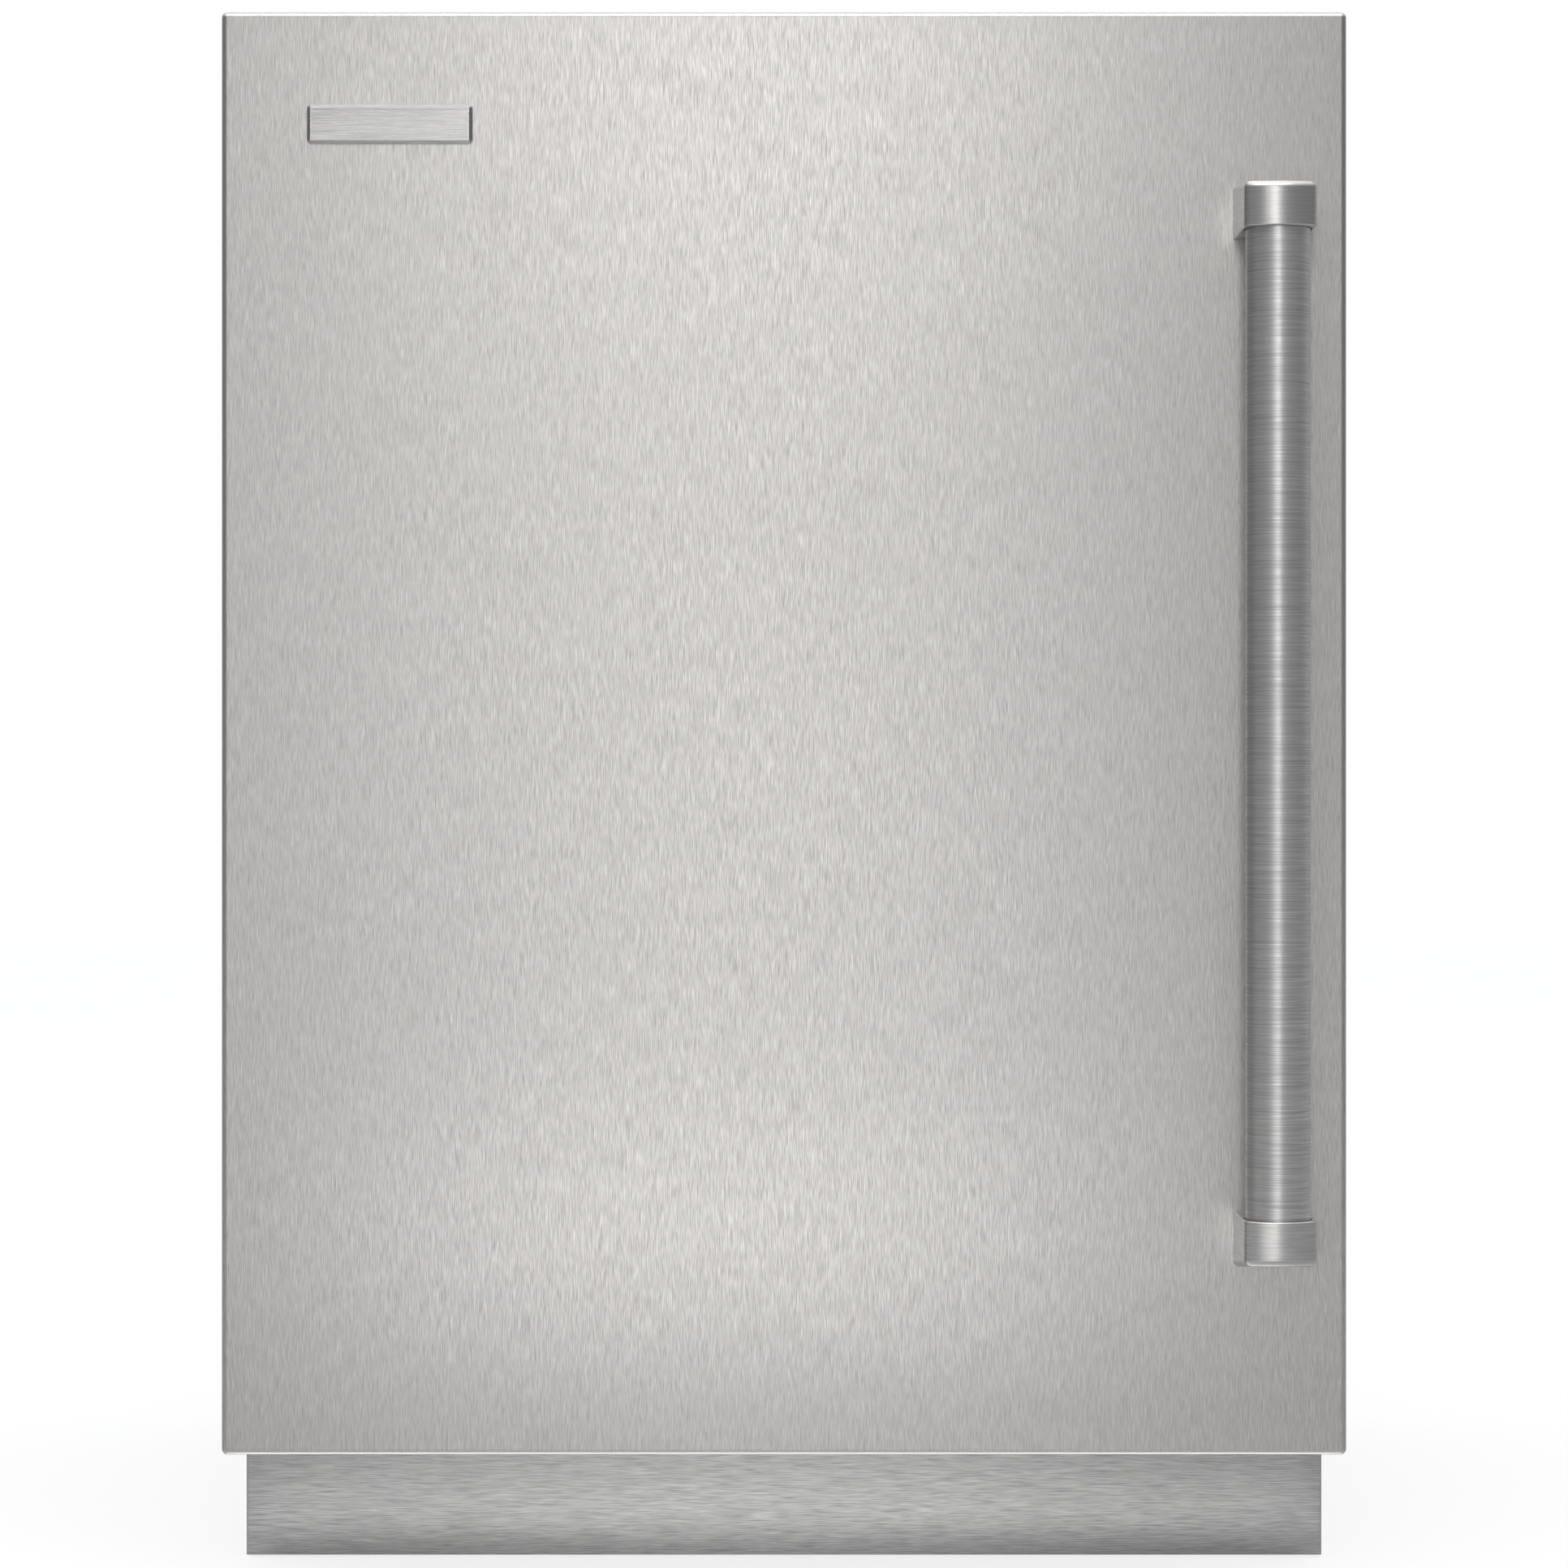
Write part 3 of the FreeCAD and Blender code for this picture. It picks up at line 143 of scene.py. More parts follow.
def aimedAt(obj, target):
    obj.rotation_euler = (Vector(target) - obj.location).to_track_quat("-Z", "Y").to_euler()


def makeStage(values):
    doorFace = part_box("door_panel")[0].y
    lens = bpy.data.cameras.new("camera")
    lens.sensor_width = values["sensor"]
    lens.lens = values["sensor"] * values["cameraDistance"] / values["frameWidth"]
    camera = bpy.data.objects.new("camera", lens)
    camera.location = (0, doorFace - values["cameraDistance"], values["cameraHeight"])
    camera.rotation_euler = (math.pi / 2, 0, 0)
    scene.collection.objects.link(camera)
    scene.camera = camera

    world = bpy.data.worlds.new("studio")
    scene.world = world
    world.use_nodes = True
    tree = world.node_tree
    tree.nodes.clear()
    rays = addNode(tree, "ShaderNodeLightPath")
    sky = hexColour(values["skyColour"])
    way = addNode(tree, "ShaderNodeTexCoord")
    parts = addNode(tree, "ShaderNodeSeparateXYZ", {0: way.outputs["Generated"]})
    sides = spread(tree, parts.outputs["Y"], -0.1, 0.5, values["reflectedFront"], values["reflectedBack"])
    overhead = spread(tree, parts.outputs["Z"], 0.35, 0.9, 0.0, values["reflectedTop"])
    mirrored = addNode(tree, "ShaderNodeMath", {0: sides, 1: overhead}, operation="ADD")
    strength = addNode(tree, "ShaderNodeMapRange",
                       {"Value": rays.outputs["Is Glossy Ray"], 3: values["skyLight"],
                        4: mirrored.outputs[0]})
    light = addNode(tree, "ShaderNodeBackground", {"Color": sky, "Strength": strength.outputs[0]})
    seen = addNode(tree, "ShaderNodeBackground", {"Color": (1, 1, 1, 1), "Strength": 1.0})
    mixed = addNode(tree, "ShaderNodeMixShader",
                    {0: rays.outputs["Is Camera Ray"], 1: light.outputs[0], 2: seen.outputs[0]})
    addNode(tree, "ShaderNodeOutputWorld", {"Surface": mixed.outputs[0]})

    for name, (place, size, power, target) in softboxes.items():
        panel = bpy.data.lights.new(name, "AREA")
        panel.shape = "RECTANGLE"
        panel.size, panel.size_y = size
        panel.energy = power
        obj = bpy.data.objects.new(name, panel)
        obj.location = place
        obj.visible_camera = False
        scene.collection.objects.link(obj)
        aimedAt(obj, target)

    mesh = bpy.data.meshes.new("floor")
    disc = bmesh.new()
    bmesh.ops.create_circle(disc, cap_ends=True, segments=96, radius=values["floorRadius"])
    disc.to_mesh(mesh)
    disc.free()
    floor = bpy.data.objects.new("floor", mesh)
    scene.collection.objects.link(floor)
    paper, tree, shader = newMaterial("matteWhitePaper", Roughness=0.9, Specular_IOR_Level=0.0)
    direct = colourBlend(tree, sizedNoise(tree, (300, 300, 300)), "#fafafa", values["floorColour"])
    spot = addNode(tree, "ShaderNodeTexCoord")
    away = addNode(tree, "ShaderNodeVectorMath", {0: spot.outputs["Object"]}, operation="LENGTH")
    distance = spread(tree, away.outputs["Value"], values["floorNear"], values["floorFar"], 0.0, 1.0)
    # painted reflection shade: the floor's colour for glossy rays, greyer with distance from the object
    mirrored = colourBlend(tree, distance, values["floorColour"], values["floorMirrored"])
    rays = addNode(tree, "ShaderNodeLightPath")
    chosen = addNode(tree, "ShaderNodeMix", {0: rays.outputs["Is Glossy Ray"], 6: direct, 7: mirrored},
                     data_type="RGBA")
    tree.links.new(chosen.outputs[2], shader.inputs["Base Color"])
    white = addNode(tree, "ShaderNodeEmission", {"Color": (1, 1, 1, 1), "Strength": 1.0})
    share = addNode(tree, "ShaderNodeMath", {0: rays.outputs["Is Camera Ray"], 1: values["floorBleach"]},
                    operation="MULTIPLY")
    seen = addNode(tree, "ShaderNodeMixShader",
                   {0: share.outputs[0], 1: shader.outputs[0], 2: white.outputs[0]})
    tree.links.new(seen.outputs[0], tree.get_output_node("ALL").inputs["Surface"])
    mesh.materials.append(paper)


makeStage(stageValues)
scene.view_settings.view_transform = "Standard"
scene.view_settings.look = "None"

print("materials")
finishes = {}

# Type 304 stainless steel, ground with a fine belt: short parallel scratches that stretch highlights
# across them. The scratches are drawn a few times coarser than a 180 grit belt leaves, so they show.
brushedValues = {
    "dark": "#aeaba9", "light": "#d6d3d0", "roughness": 0.34, "anisotropy": 0.35,
    "widthMm": 0.5, "lengthMm": 15.0, "patchiness": 0.03, "bumpStrength": 0.05, "bumpMm": 0.02,
    "fineSize": 0.45, "patchSize": 9,        # of the finer scratches and the patches, times the scratches'
    "scratchShare": 0.49, "toneLow": 0.36, "toneHigh": 0.64, "roughnessSwing": 0.05,
    "lean": 0.05,                # tips the upright, so level faces have a direction too
}


# grain is the axis that the scratches run along; "round" runs them round a vertical bar
def brushedSteel(name, grain, values):
    material, tree, shader = newMaterial(name, Metallic=1.0, Anisotropic=values["anisotropy"])
    wide, long = values["widthMm"], values["lengthMm"]
    sizes = {"x": (long, wide, wide), "z": (wide, wide, long), "round": (long, long, wide)}[grain]
    scratches = sizedNoise(tree, sizes, detail=3.0, roughness=0.62)
    fine = sizedNoise(tree, [size * values["fineSize"] for size in sizes], detail=1.0)
    patches = sizedNoise(tree, [size * values["patchSize"] for size in sizes], detail=2.0)
    both = addNode(tree, "ShaderNodeMath", {0: scratches, 1: fine}, operation="ADD").outputs[0]
    shared = addNode(tree, "ShaderNodeMath", {0: both, 1: values["scratchShare"]}, operation="MULTIPLY")
    mixed = addNode(tree, "ShaderNodeMath", {0: patches, 1: values["patchiness"], 2: shared.outputs[0]},
                    operation="MULTIPLY_ADD").outputs[0]
    low, high, swing = values["toneLow"], values["toneHigh"], values["roughnessSwing"]
    tone = spread(tree, mixed, low, high, 0.0, 1.0)
    tree.links.new(colourBlend(tree, tone, values["dark"], values["light"]), shader.inputs["Base Color"])
    rough = values["roughness"]
    tree.links.new(spread(tree, mixed, low, high, rough + swing, rough - swing),
                   shader.inputs["Roughness"])
    bump(tree, shader, mixed, values["bumpStrength"], values["bumpMm"])
    surface = addNode(tree, "ShaderNodeNewGeometry")
    lean = values["lean"]
    if grain == "z":
        across = addNode(tree, "ShaderNodeVectorMath",
                         {0: surface.outputs["Normal"], 1: (0, -lean, 1)}, operation="CROSS_PRODUCT")
    else:
        across = addNode(tree, "ShaderNodeCombineXYZ", {"Y": lean, "Z": 1.0})
    tree.links.new(across.outputs[0], shader.inputs["Tangent"])
    return material


finishes["doorSteel"] = brushedSteel("stainlessBrushedVertical", "z", brushedValues)
# The toe kick is the door's steel; its darker colours are painted shade, for the shadow under the door.
finishes["kickSteelPaintedShade"] = brushedSteel("stainlessBrushedHorizontal", "x", {
    **brushedValues, "dark": "#90908f", "light": "#c2c1c0", "widthMm": 0.5, "lengthMm": 24.0,
    "patchiness": 0.0})
finishes["barSteel"] = brushedSteel("stainlessBrushedRound", "round", {
    **brushedValues, "dark": "#a9a8a7", "light": "#dddbda", "roughness": 0.41, "anisotropy": 0.3,
    "widthMm": 0.5, "lengthMm": 45.0, "bumpStrength": 0.02})
finishes["capSteel"] = brushedSteel("stainlessSatinCast", "round", {
    **brushedValues, "dark": "#b0afae", "light": "#d6d4d3", "roughness": 0.34, "anisotropy": 0.2,
    "widthMm": 0.5, "lengthMm": 30.0, "bumpStrength": 0.02})
finishes["badgeSteel"] = brushedSteel("aluminiumBrushed", "x", {
    **brushedValues, "dark": "#a7a6a5", "light": "#d2d1cf", "roughness": 0.26, "anisotropy": 0.4,
    "widthMm": 0.5, "lengthMm": 30.0, "bumpStrength": 0.04})
finishes["trimAluminium"] = brushedSteel("aluminiumSatinAnodised", "x", {
    **brushedValues, "dark": "#c8cacb", "light": "#dfe0e1", "roughness": 0.32, "anisotropy": 0.4,
    "widthMm": 0.5, "lengthMm": 30.0, "bumpStrength": 0.06})


# a finish with one soft mottle in colour and roughness, and a fine surface relief
def mouldedFinish(name, dark, light, roughness, grainMm, bumpStrength, bumpMm, **shaderValues):
    material, tree, shader = newMaterial(name, **shaderValues)
    mottle = sizedNoise(tree, (35, 35, 35), detail=4.0)
    grain = sizedNoise(tree, (grainMm, grainMm, grainMm), detail=3.0)
    tree.links.new(colourBlend(tree, spread(tree, mottle, 0.35, 0.65, 0, 1), dark, light),
                   shader.inputs["Base Color"])
    tree.links.new(spread(tree, grain, 0.3, 0.7, roughness + 0.05, roughness - 0.05),
                   shader.inputs["Roughness"])
    bump(tree, shader, grain, bumpStrength, bumpMm)
    return material


# Polyester powder coat on steel: dark grey, with the orange-peel texture of a baked film.
finishes["casingPaint"] = mouldedFinish(
    "powderCoatGraphite", "#36393c", "#3a3d40", 0.48, 1.3, 0.3, 0.08, IOR=1.5)
finishes["blackPaint"] = mouldedFinish(
    "powderCoatBlack", "#17181a", "#1f2022", 0.5, 1.2, 0.3, 0.07, IOR=1.5)
# Thermoformed ABS sheet: white, semi-gloss, with a faint leather grain from the mould.
finishes["whiteSheet"] = mouldedFinish(
    "absThermoformedWhite", "#e9ecec", "#f1f3f3", 0.34, 1.8, 0.12, 0.05, IOR=1.53)
# Injection-moulded ABS: white, finer and a little duller than the formed sheet.
finishes["whiteMoulding"] = mouldedFinish(
    "absMouldedWhite", "#e6e9ea", "#eff1f1", 0.42, 0.7, 0.15, 0.03, IOR=1.53)
finishes["greyMoulding"] = mouldedFinish(
    "absMouldedGrey", "#6b6e71", "#75787b", 0.46, 0.7, 0.2, 0.03, IOR=1.53)
finishes["darkMoulding"] = mouldedFinish(
    "polypropyleneBlack", "#1b1c1d", "#232425", 0.42, 0.8, 0.2, 0.03, IOR=1.49)
# Soft PVC seal: light grey, matt, a little greasy in its shine.
finishes["sealPvc"] = mouldedFinish(
    "pvcSealGrey", "#9da1a4", "#a9adb0", 0.55, 0.9, 0.2, 0.03, IOR=1.53)
finishes["rubber"] = mouldedFinish(
    "rubberMouldedBlack", "#161616", "#202020", 0.7, 0.8, 0.3, 0.04, IOR=1.52)
finishes["acetal"] = mouldedFinish(
    "acetalNatural", "#dedbd0", "#e8e6dc", 0.4, 0.8, 0.1, 0.02, IOR=1.48)
# Rigid polyurethane foam: yellow-cream, matt, with open cells where it is cut.
finishes["foam"] = mouldedFinish(
    "polyurethaneFoam", "#d9c58f", "#e6d6a6", 0.9, 0.9, 0.7, 0.25, IOR=1.45)
# Closed-cell tape over the edge of the door's foam: dark grey, matt.
finishes["edgeTape"] = mouldedFinish(
    "foamTapeGrey", "#4a4d50", "#55585b", 0.75, 0.8, 0.3, 0.04, IOR=1.5)
finishes["enamelBlack"] = mouldedFinish(
    "enamelBlack", "#121315", "#191a1c", 0.22, 2.5, 0.1, 0.05, IOR=1.5, Coat_Weight=0.6)
finishes["circuitBoard"] = mouldedFinish(
    "solderMaskGreen", "#0e4a24", "#13582d", 0.3, 1.5, 0.15, 0.03, IOR=1.5)
finishes["displayBlack"] = mouldedFinish(
    "acrylicTintedBlack", "#08090a", "#0b0c0e", 0.08, 4.0, 0.02, 0.01, IOR=1.49)
# Zinc plating with a clear passivate: grey metal with a bluish, slightly yellow mottle.
finishes["zincPlate"] = mouldedFinish(
    "zincPlatedSteel", "#b4b8bb", "#c7c6bf", 0.34, 0.9, 0.15, 0.02, Metallic=1.0)
finishes["aluminium"] = mouldedFinish(
    "aluminiumMill", "#c9cacb", "#d9dadb", 0.34, 1.0, 0.15, 0.02, Metallic=1.0)
# Drawn copper tube: pink-brown, brighter where it has been handled.
finishes["copper"] = mouldedFinish(
    "copperDrawn", "#b5684a", "#cf8763", 0.3, 6.0, 0.1, 0.02, Metallic=1.0)


# Hot-dip galvanised sheet: flat grey zinc crystals, each with its own tone and shine.
def galvanisedSheet():
    material, tree, shader = newMaterial("galvanisedSheet", Metallic=1.0)
    place = addNode(tree, "ShaderNodeTexCoord")
    spangle = addNode(tree, "ShaderNodeTexVoronoi",
                      {"Vector": place.outputs["Object"], "Scale": 1 / (9 * mm)})
    tone = addNode(tree, "ShaderNodeSeparateColor", {0: spangle.outputs["Color"]}).outputs[0]
    tree.links.new(colourBlend(tree, tone, "#a8adb0", "#b9bdbf"), shader.inputs["Base Color"])
    tree.links.new(spread(tree, tone, 0, 1, 0.47, 0.39), shader.inputs["Roughness"])
    bump(tree, shader, sizedNoise(tree, (3, 3, 3), detail=3.0), 0.12, 0.05)
    return material


finishes["galvanised"] = galvanisedSheet()


# clear solids: light passes, a little colour in depth, and faint waviness from the mould
def clearSolid(name, tint, roughness, ior, waveMm, waveStrength):
    material, tree, shader = newMaterial(name, IOR=ior, Transmission_Weight=1.0,
                                         Base_Color=hexColour(tint))
    wave = sizedNoise(tree, (waveMm, waveMm, waveMm), detail=1.0)
    tree.links.new(spread(tree, wave, 0.3, 0.7, roughness, roughness + 0.03),
                   shader.inputs["Roughness"])
    bump(tree, shader, wave, waveStrength, 0.1)
    return material


# Tempered soda-lime glass: clear, with a green cast. Crystal polystyrene: clear, faintly blue.
finishes["glass"] = clearSolid("glassTempered", "#e9f6f0", 0.0, 1.52, 90, 0.02)
finishes["clearPlastic"] = clearSolid("polystyreneCrystal", "#f0f6fa", 0.05, 1.59, 25, 0.06)


# Opal acrylic over the lamp: it glows evenly.
def lampLens():
    material, tree, shader = newMaterial(
        "acrylicOpalLit", Base_Color=hexColour("#fbfbf6"), IOR=1.49, Emission_Strength=2.2)
    glow = sizedNoise(tree, (30, 30, 30), detail=1.0)
    tree.links.new(colourBlend(tree, glow, "#f4f8ff", "#ffffff"), shader.inputs["Emission Color"])
    tree.links.new(spread(tree, glow, 0.3, 0.7, 0.3, 0.38), shader.inputs["Roughness"])
    return material


finishes["lampLens"] = lampLens()


# a lit part of the display: pale blue-white, even
def litSegment():
    material, tree, shader = newMaterial("ledSegmentWhite", Base_Color=hexColour("#dff1ff"), IOR=1.49,
                                         Roughness=0.4, Emission_Strength=1.4)
    glow = sizedNoise(tree, (4, 4, 4), detail=1.0)
    tree.links.new(colourBlend(tree, glow, "#bfe4ff", "#e8f6ff"), shader.inputs["Emission Color"])
    return material


finishes["litSegment"] = litSegment()
# Pad-printed ink on the buttons: off-white, matt.
finishes["markPaint"] = mouldedFinish(
    "padPrintInkWhite", "#d9dbdc", "#e6e8e8", 0.6, 0.4, 0.1, 0.01, IOR=1.5)

finishOf = {
    "doorSteel": ["door_panel"],
    "kickSteelPaintedShade": ["toe_kick"],
    "barSteel": ["handle_bar"],
    "capSteel": ["handle_cap_top", "handle_cap_bottom"],
    "badgeSteel": ["badge_plate"],
    "trimAluminium": ["shelf_trims", "bin_rail_upper", "bin_rail_lower"],
    "casingPaint": ["outer_shell"],
    "blackPaint": ["rear_cover", "base_frame"],
    "galvanised": ["back_panel", "floor_pan", "machine_base_plate"],
    "whiteSheet": ["liner", "door_liner"],
    "whiteMoulding": ["drawer_rails", "control_housing", "evaporator_cover", "drain_tube"],
    "greyMoulding": ["door_edge_frame", "button_power", "button_colder", "button_warmer"],
    "darkMoulding": ["rear_spacers", "cord_gland", "evaporator_fan_frame", "evaporator_fan_blade",
                     "condenser_fan_frame", "condenser_fan_blade", "start_relay", "drain_pan"],
    "sealPvc": ["door_gasket"],
    "rubber": ["compressor_grommets"],
    "acetal": ["hinge_bushings"],
    "foam": ["insulation_foam"],
    "edgeTape": ["door_foam"],
    "enamelBlack": ["compressor"],
    "circuitBoard": ["control_board"],
    "displayBlack": ["display_window"],
    "zincPlate": ["toe_kick_clips", "hinge_bracket_top", "hinge_bracket_bottom", "hinge_pins",
                  "casing_screws", "anti_tip_brackets", "handle_screws", "foot_front_left",
                  "foot_front_right", "foot_rear_left", "foot_rear_right"],
    "aluminium": ["evaporator_coil", "condenser_coil"],
    "copper": ["refrigerant_lines"],
    "glass": ["shelf_glass"],
    "clearPlastic": ["crisper_drawer", "door_bin_upper", "door_bin_lower"],
    "lampLens": ["light_lens"],
}
for finish, names in finishOf.items():
    for name in names:
        for slot in nodes[name].material_slots:
            slot.material = finishes[finish]


# an empty tree for a piece, with one named input for each size, number, object or material
def newTree(name, inputs):
    tree = bpy.data.node_groups.new(name, "GeometryNodeTree")
    tree.interface.new_socket("Geometry", in_out="INPUT", socket_type="NodeSocketGeometry")
    for inputName, kind in inputs.items():
        tree.interface.new_socket(inputName, in_out="INPUT", socket_type="NodeSocket" + kind)
    tree.interface.new_socket("Geometry", in_out="OUTPUT", socket_type="NodeSocketGeometry")
    return tree, addNode(tree, "NodeGroupInput").outputs


# closes a tree: instances made real, then the material
def endTree(tree, geometry, material):
    real = addNode(tree, "GeometryNodeRealizeInstances", {0: geometry})
    painted = addNode(tree, "GeometryNodeSetMaterial", {"Geometry": real.outputs[0], "Material": material})
    addNode(tree, "NodeGroupOutput", {0: painted.outputs[0]})


# runs a tree on a start mesh and keeps the result as a plain mesh piece
def grownPiece(name, tree, values, startMesh, body, replaced=()):
    carrier = bpy.data.objects.new(name + "Carrier", startMesh)
    scene.collection.objects.link(carrier)
    grower = carrier.modifiers.new("grow", "NODES")
    grower.node_group = tree
    for item in tree.interface.items_tree:
        if item.in_out == "INPUT" and item.name in values:
            grower[item.identifier] = values[item.name]
    evaluated = carrier.evaluated_get(bpy.context.evaluated_depsgraph_get())
    mesh = bpy.data.meshes.new_from_object(evaluated)
    carrier.modifiers.remove(grower)
    bpy.data.objects.remove(carrier)
    return placedPiece(name, mesh, body, replaced)


def placedPiece(name, mesh, body, replaced=()):
    mesh.name = name
    mesh.shade_smooth()
    mesh.set_sharp_from_angle(angle=math.radians(32))
    piece = bpy.data.objects.new(name, mesh)
    scene.collection.objects.link(piece)
    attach(piece, body)
    if replaced:
        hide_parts(*replaced)
    print("  ", name, len(mesh.polygons), "faces")
    return piece


def pointMesh(name, points):
    mesh = bpy.data.meshes.new(name)
    mesh.from_pydata([Vector(p) for p in points], [], [])
    return mesh


# solid of revolution about Z from (radius, height) pairs in millimetres, closed on the axis
def turned(name, outline, segments):
    shape = bmesh.new()
    rings = []
    for radius, height in outline:
        if radius == 0:
            rings.append([shape.verts.new((0, 0, height * mm))])
            continue
        ring = []
        for step in range(segments):
            angle = 2 * math.pi * step / segments
            ring.append(shape.verts.new(
                (radius * mm * math.cos(angle), radius * mm * math.sin(angle), height * mm)))
        rings.append(ring)
    for low, high in zip(rings, rings[1:]):
        for step in range(segments):
            after = (step + 1) % segments
            corners = [low[step % len(low)], low[after % len(low)], high[after % len(high)],
                       high[step % len(high)]]
            shape.faces.new(list(dict.fromkeys(corners)))
    bmesh.ops.recalc_face_normals(shape, faces=shape.faces)
    mesh = bpy.data.meshes.new(name)
    shape.to_mesh(mesh)
    shape.free()
    return mesh


# closed boxes, each from a low and a high corner in metres
def boxesMesh(name, boxes):
    shape = bmesh.new()
    for low, high in boxes:
        low, high = Vector(low), Vector(high)
        placed = Matrix.Translation((low + high) / 2) @ Matrix.Diagonal((*(high - low), 1.0))
        bmesh.ops.create_cube(shape, size=1.0, matrix=placed)
    mesh = bpy.data.meshes.new(name)
    shape.to_mesh(mesh)
    shape.free()
    return mesh


# the separate solids of a node's mesh, each as a list of points
def islandsOf(node):
    shape = bmesh.new()
    shape.from_mesh(nodes[node].data)
    bmesh.ops.remove_doubles(shape, verts=shape.verts, dist=1e-6)
    left, islands = set(shape.verts), []
    while left:
        stack, island = [left.pop()], []
        while stack:
            vert = stack.pop()
            island.append(vert.co.copy())
            for edge in vert.link_edges:
                other = edge.other_vert(vert)
                if other in left:
                    left.remove(other)
                    stack.append(other)
        islands.append(island)
    shape.free()
    return islands


print("casing screws")
screwValues = {
    "Diameter": 8.0 * mm,
    "Turn seed": 7,              # each screw stops at its own angle
    "headHeight": 2.2,
    "crown": 0.7,                # height of the dome above the head's rim
    "crossWidth": 1.1,
    "crossLength": 4.6,
    "crossDepth": 1.5,
    "shankRadius": 0.5,          # as a share of the head's radius
    "segments": 28,
}


# pan head of unit diameter with its cross recess, and the shank under it
def screwTemplate(values, diameter):
    unit = mm / diameter
    rim, top = values["headHeight"] - values["crown"], values["headHeight"]
    radius, shank = diameter / mm / 2, diameter / mm / 2 * values["shankRadius"]
    dome = [(radius * math.cos(a), rim + values["crown"] * math.sin(a))
            for a in (math.radians(step) for step in (0, 25, 50, 70))]
    mesh = turned("screwHead", [(0, -8.0), (shank, -8.0), (shank, 0), (radius * 0.96, 0), (radius, 0.3),
                                *dome, (0, top)], values["segments"])
    head = bpy.data.objects.new("screwHead", mesh)
    half, arm, deep = values["crossWidth"] / 2, values["crossLength"] / 2, top - values["crossDepth"]
    cross = bpy.data.objects.new("screwCross", boxesMesh("screwCross", [
        ((-arm * mm, -half * mm, deep * mm), (arm * mm, half * mm, 4 * mm)),
        ((-half * mm, -arm * mm, deep * mm), (half * mm, arm * mm, 4 * mm))]))
    scene.collection.objects.link(head)
    scene.collection.objects.link(cross)
    cutter = head.modifiers.new("recess", "BOOLEAN")
    cutter.object = cross
    cutter.use_self = True
    cut = bpy.data.meshes.new_from_object(head.evaluated_get(bpy.context.evaluated_depsgraph_get()))
    cut.transform(Matrix.Scale(unit / mm, 4))
    bpy.data.objects.remove(head)
    bpy.data.objects.remove(cross)
    return bpy.data.objects.new("screwTemplate", cut)


def screwTree():
    tree, given = newTree("screwTree", {
        "Screw": "Object", "Diameter": "Float", "Turn seed": "Int", "Finish": "Material"})
    outward = addNode(tree, "GeometryNodeInputNamedAttribute", {"Name": "outward"},
                      data_type="FLOAT_VECTOR")
    stood = addNode(tree, "FunctionNodeAlignRotationToVector", {"Vector": outward.outputs[0]}, axis="Z")
    turn = addNode(tree, "FunctionNodeRandomValue", {2: 0.0, 3: 2 * math.pi, "Seed": given["Turn seed"]},
                   data_type="FLOAT")
    spin = addNode(tree, "FunctionNodeAxisAngleToRotation", {"Axis": (0, 0, 1), "Angle": turn.outputs[1]})
    turnedTo = addNode(tree, "FunctionNodeRotateRotation", {0: stood.outputs[0], 1: spin.outputs[0]},
                       rotation_space="LOCAL")
    screw = addNode(tree, "GeometryNodeObjectInfo", {"Object": given["Screw"]})
    placed = addNode(tree, "GeometryNodeInstanceOnPoints",
                     {"Points": given["Geometry"], "Instance": screw.outputs["Geometry"],
                      "Rotation": turnedTo.outputs[0], "Scale": given["Diameter"]})
    endTree(tree, placed.outputs[0], given["Finish"])
    return tree


# a screw's solid gives the point under its head and the way that the head faces
def screwPlaces(node, headHeight):
    places = []
    for island in islandsOf(node):
        low = Vector([min(p[i] for p in island) for i in range(3)])
        high = Vector([max(p[i] for p in island) for i in range(3)])
        size, middle = high - low, (low + high) / 2
        axis = max(range(3), key=lambda i: size[i])
        widest = max((p - middle).length for p in island)
        headEnd = [p[axis] for p in island if (p - middle).length > widest * 0.999][0]
        side = 1 if headEnd > middle[axis] else -1
        outward = Vector([side if i == axis else 0 for i in range(3)])
        under = middle + outward * (size[axis] / 2 - headHeight)
        places.append((under, outward))
    return places


def casingScrews(values):
    places = screwPlaces("casing_screws", values["headHeight"] * mm)
    start = pointMesh("screwPoints", [place for place, outward in places])
    facing = start.attributes.new("outward", "FLOAT_VECTOR", "POINT")
    for item, (place, outward) in zip(facing.data, places):
        item.vector = outward
    template = screwTemplate(values, values["Diameter"])
    grownPiece("casingScrews", screwTree(), {
        "Screw": template, "Diameter": values["Diameter"], "Turn seed": values["Turn seed"],
        "Finish": finishes["zincPlate"]}, start, "cabinet", ["casing_screws"])
    bpy.data.objects.remove(template)


casingScrews(screwValues)

print("louvre hoods")
louvreValues = {
    "Columns": 3, "Rows": 12, "Column spacing": 190.0 * mm, "Row spacing": 11.0 * mm,
    "Length": 146.0 * mm, "Reach": 3.2 * mm, "Height": 8.0 * mm,
    "firstSlot": 110.0 * mm,     # the lowest hood's lower edge, half way up the lowest slot
}


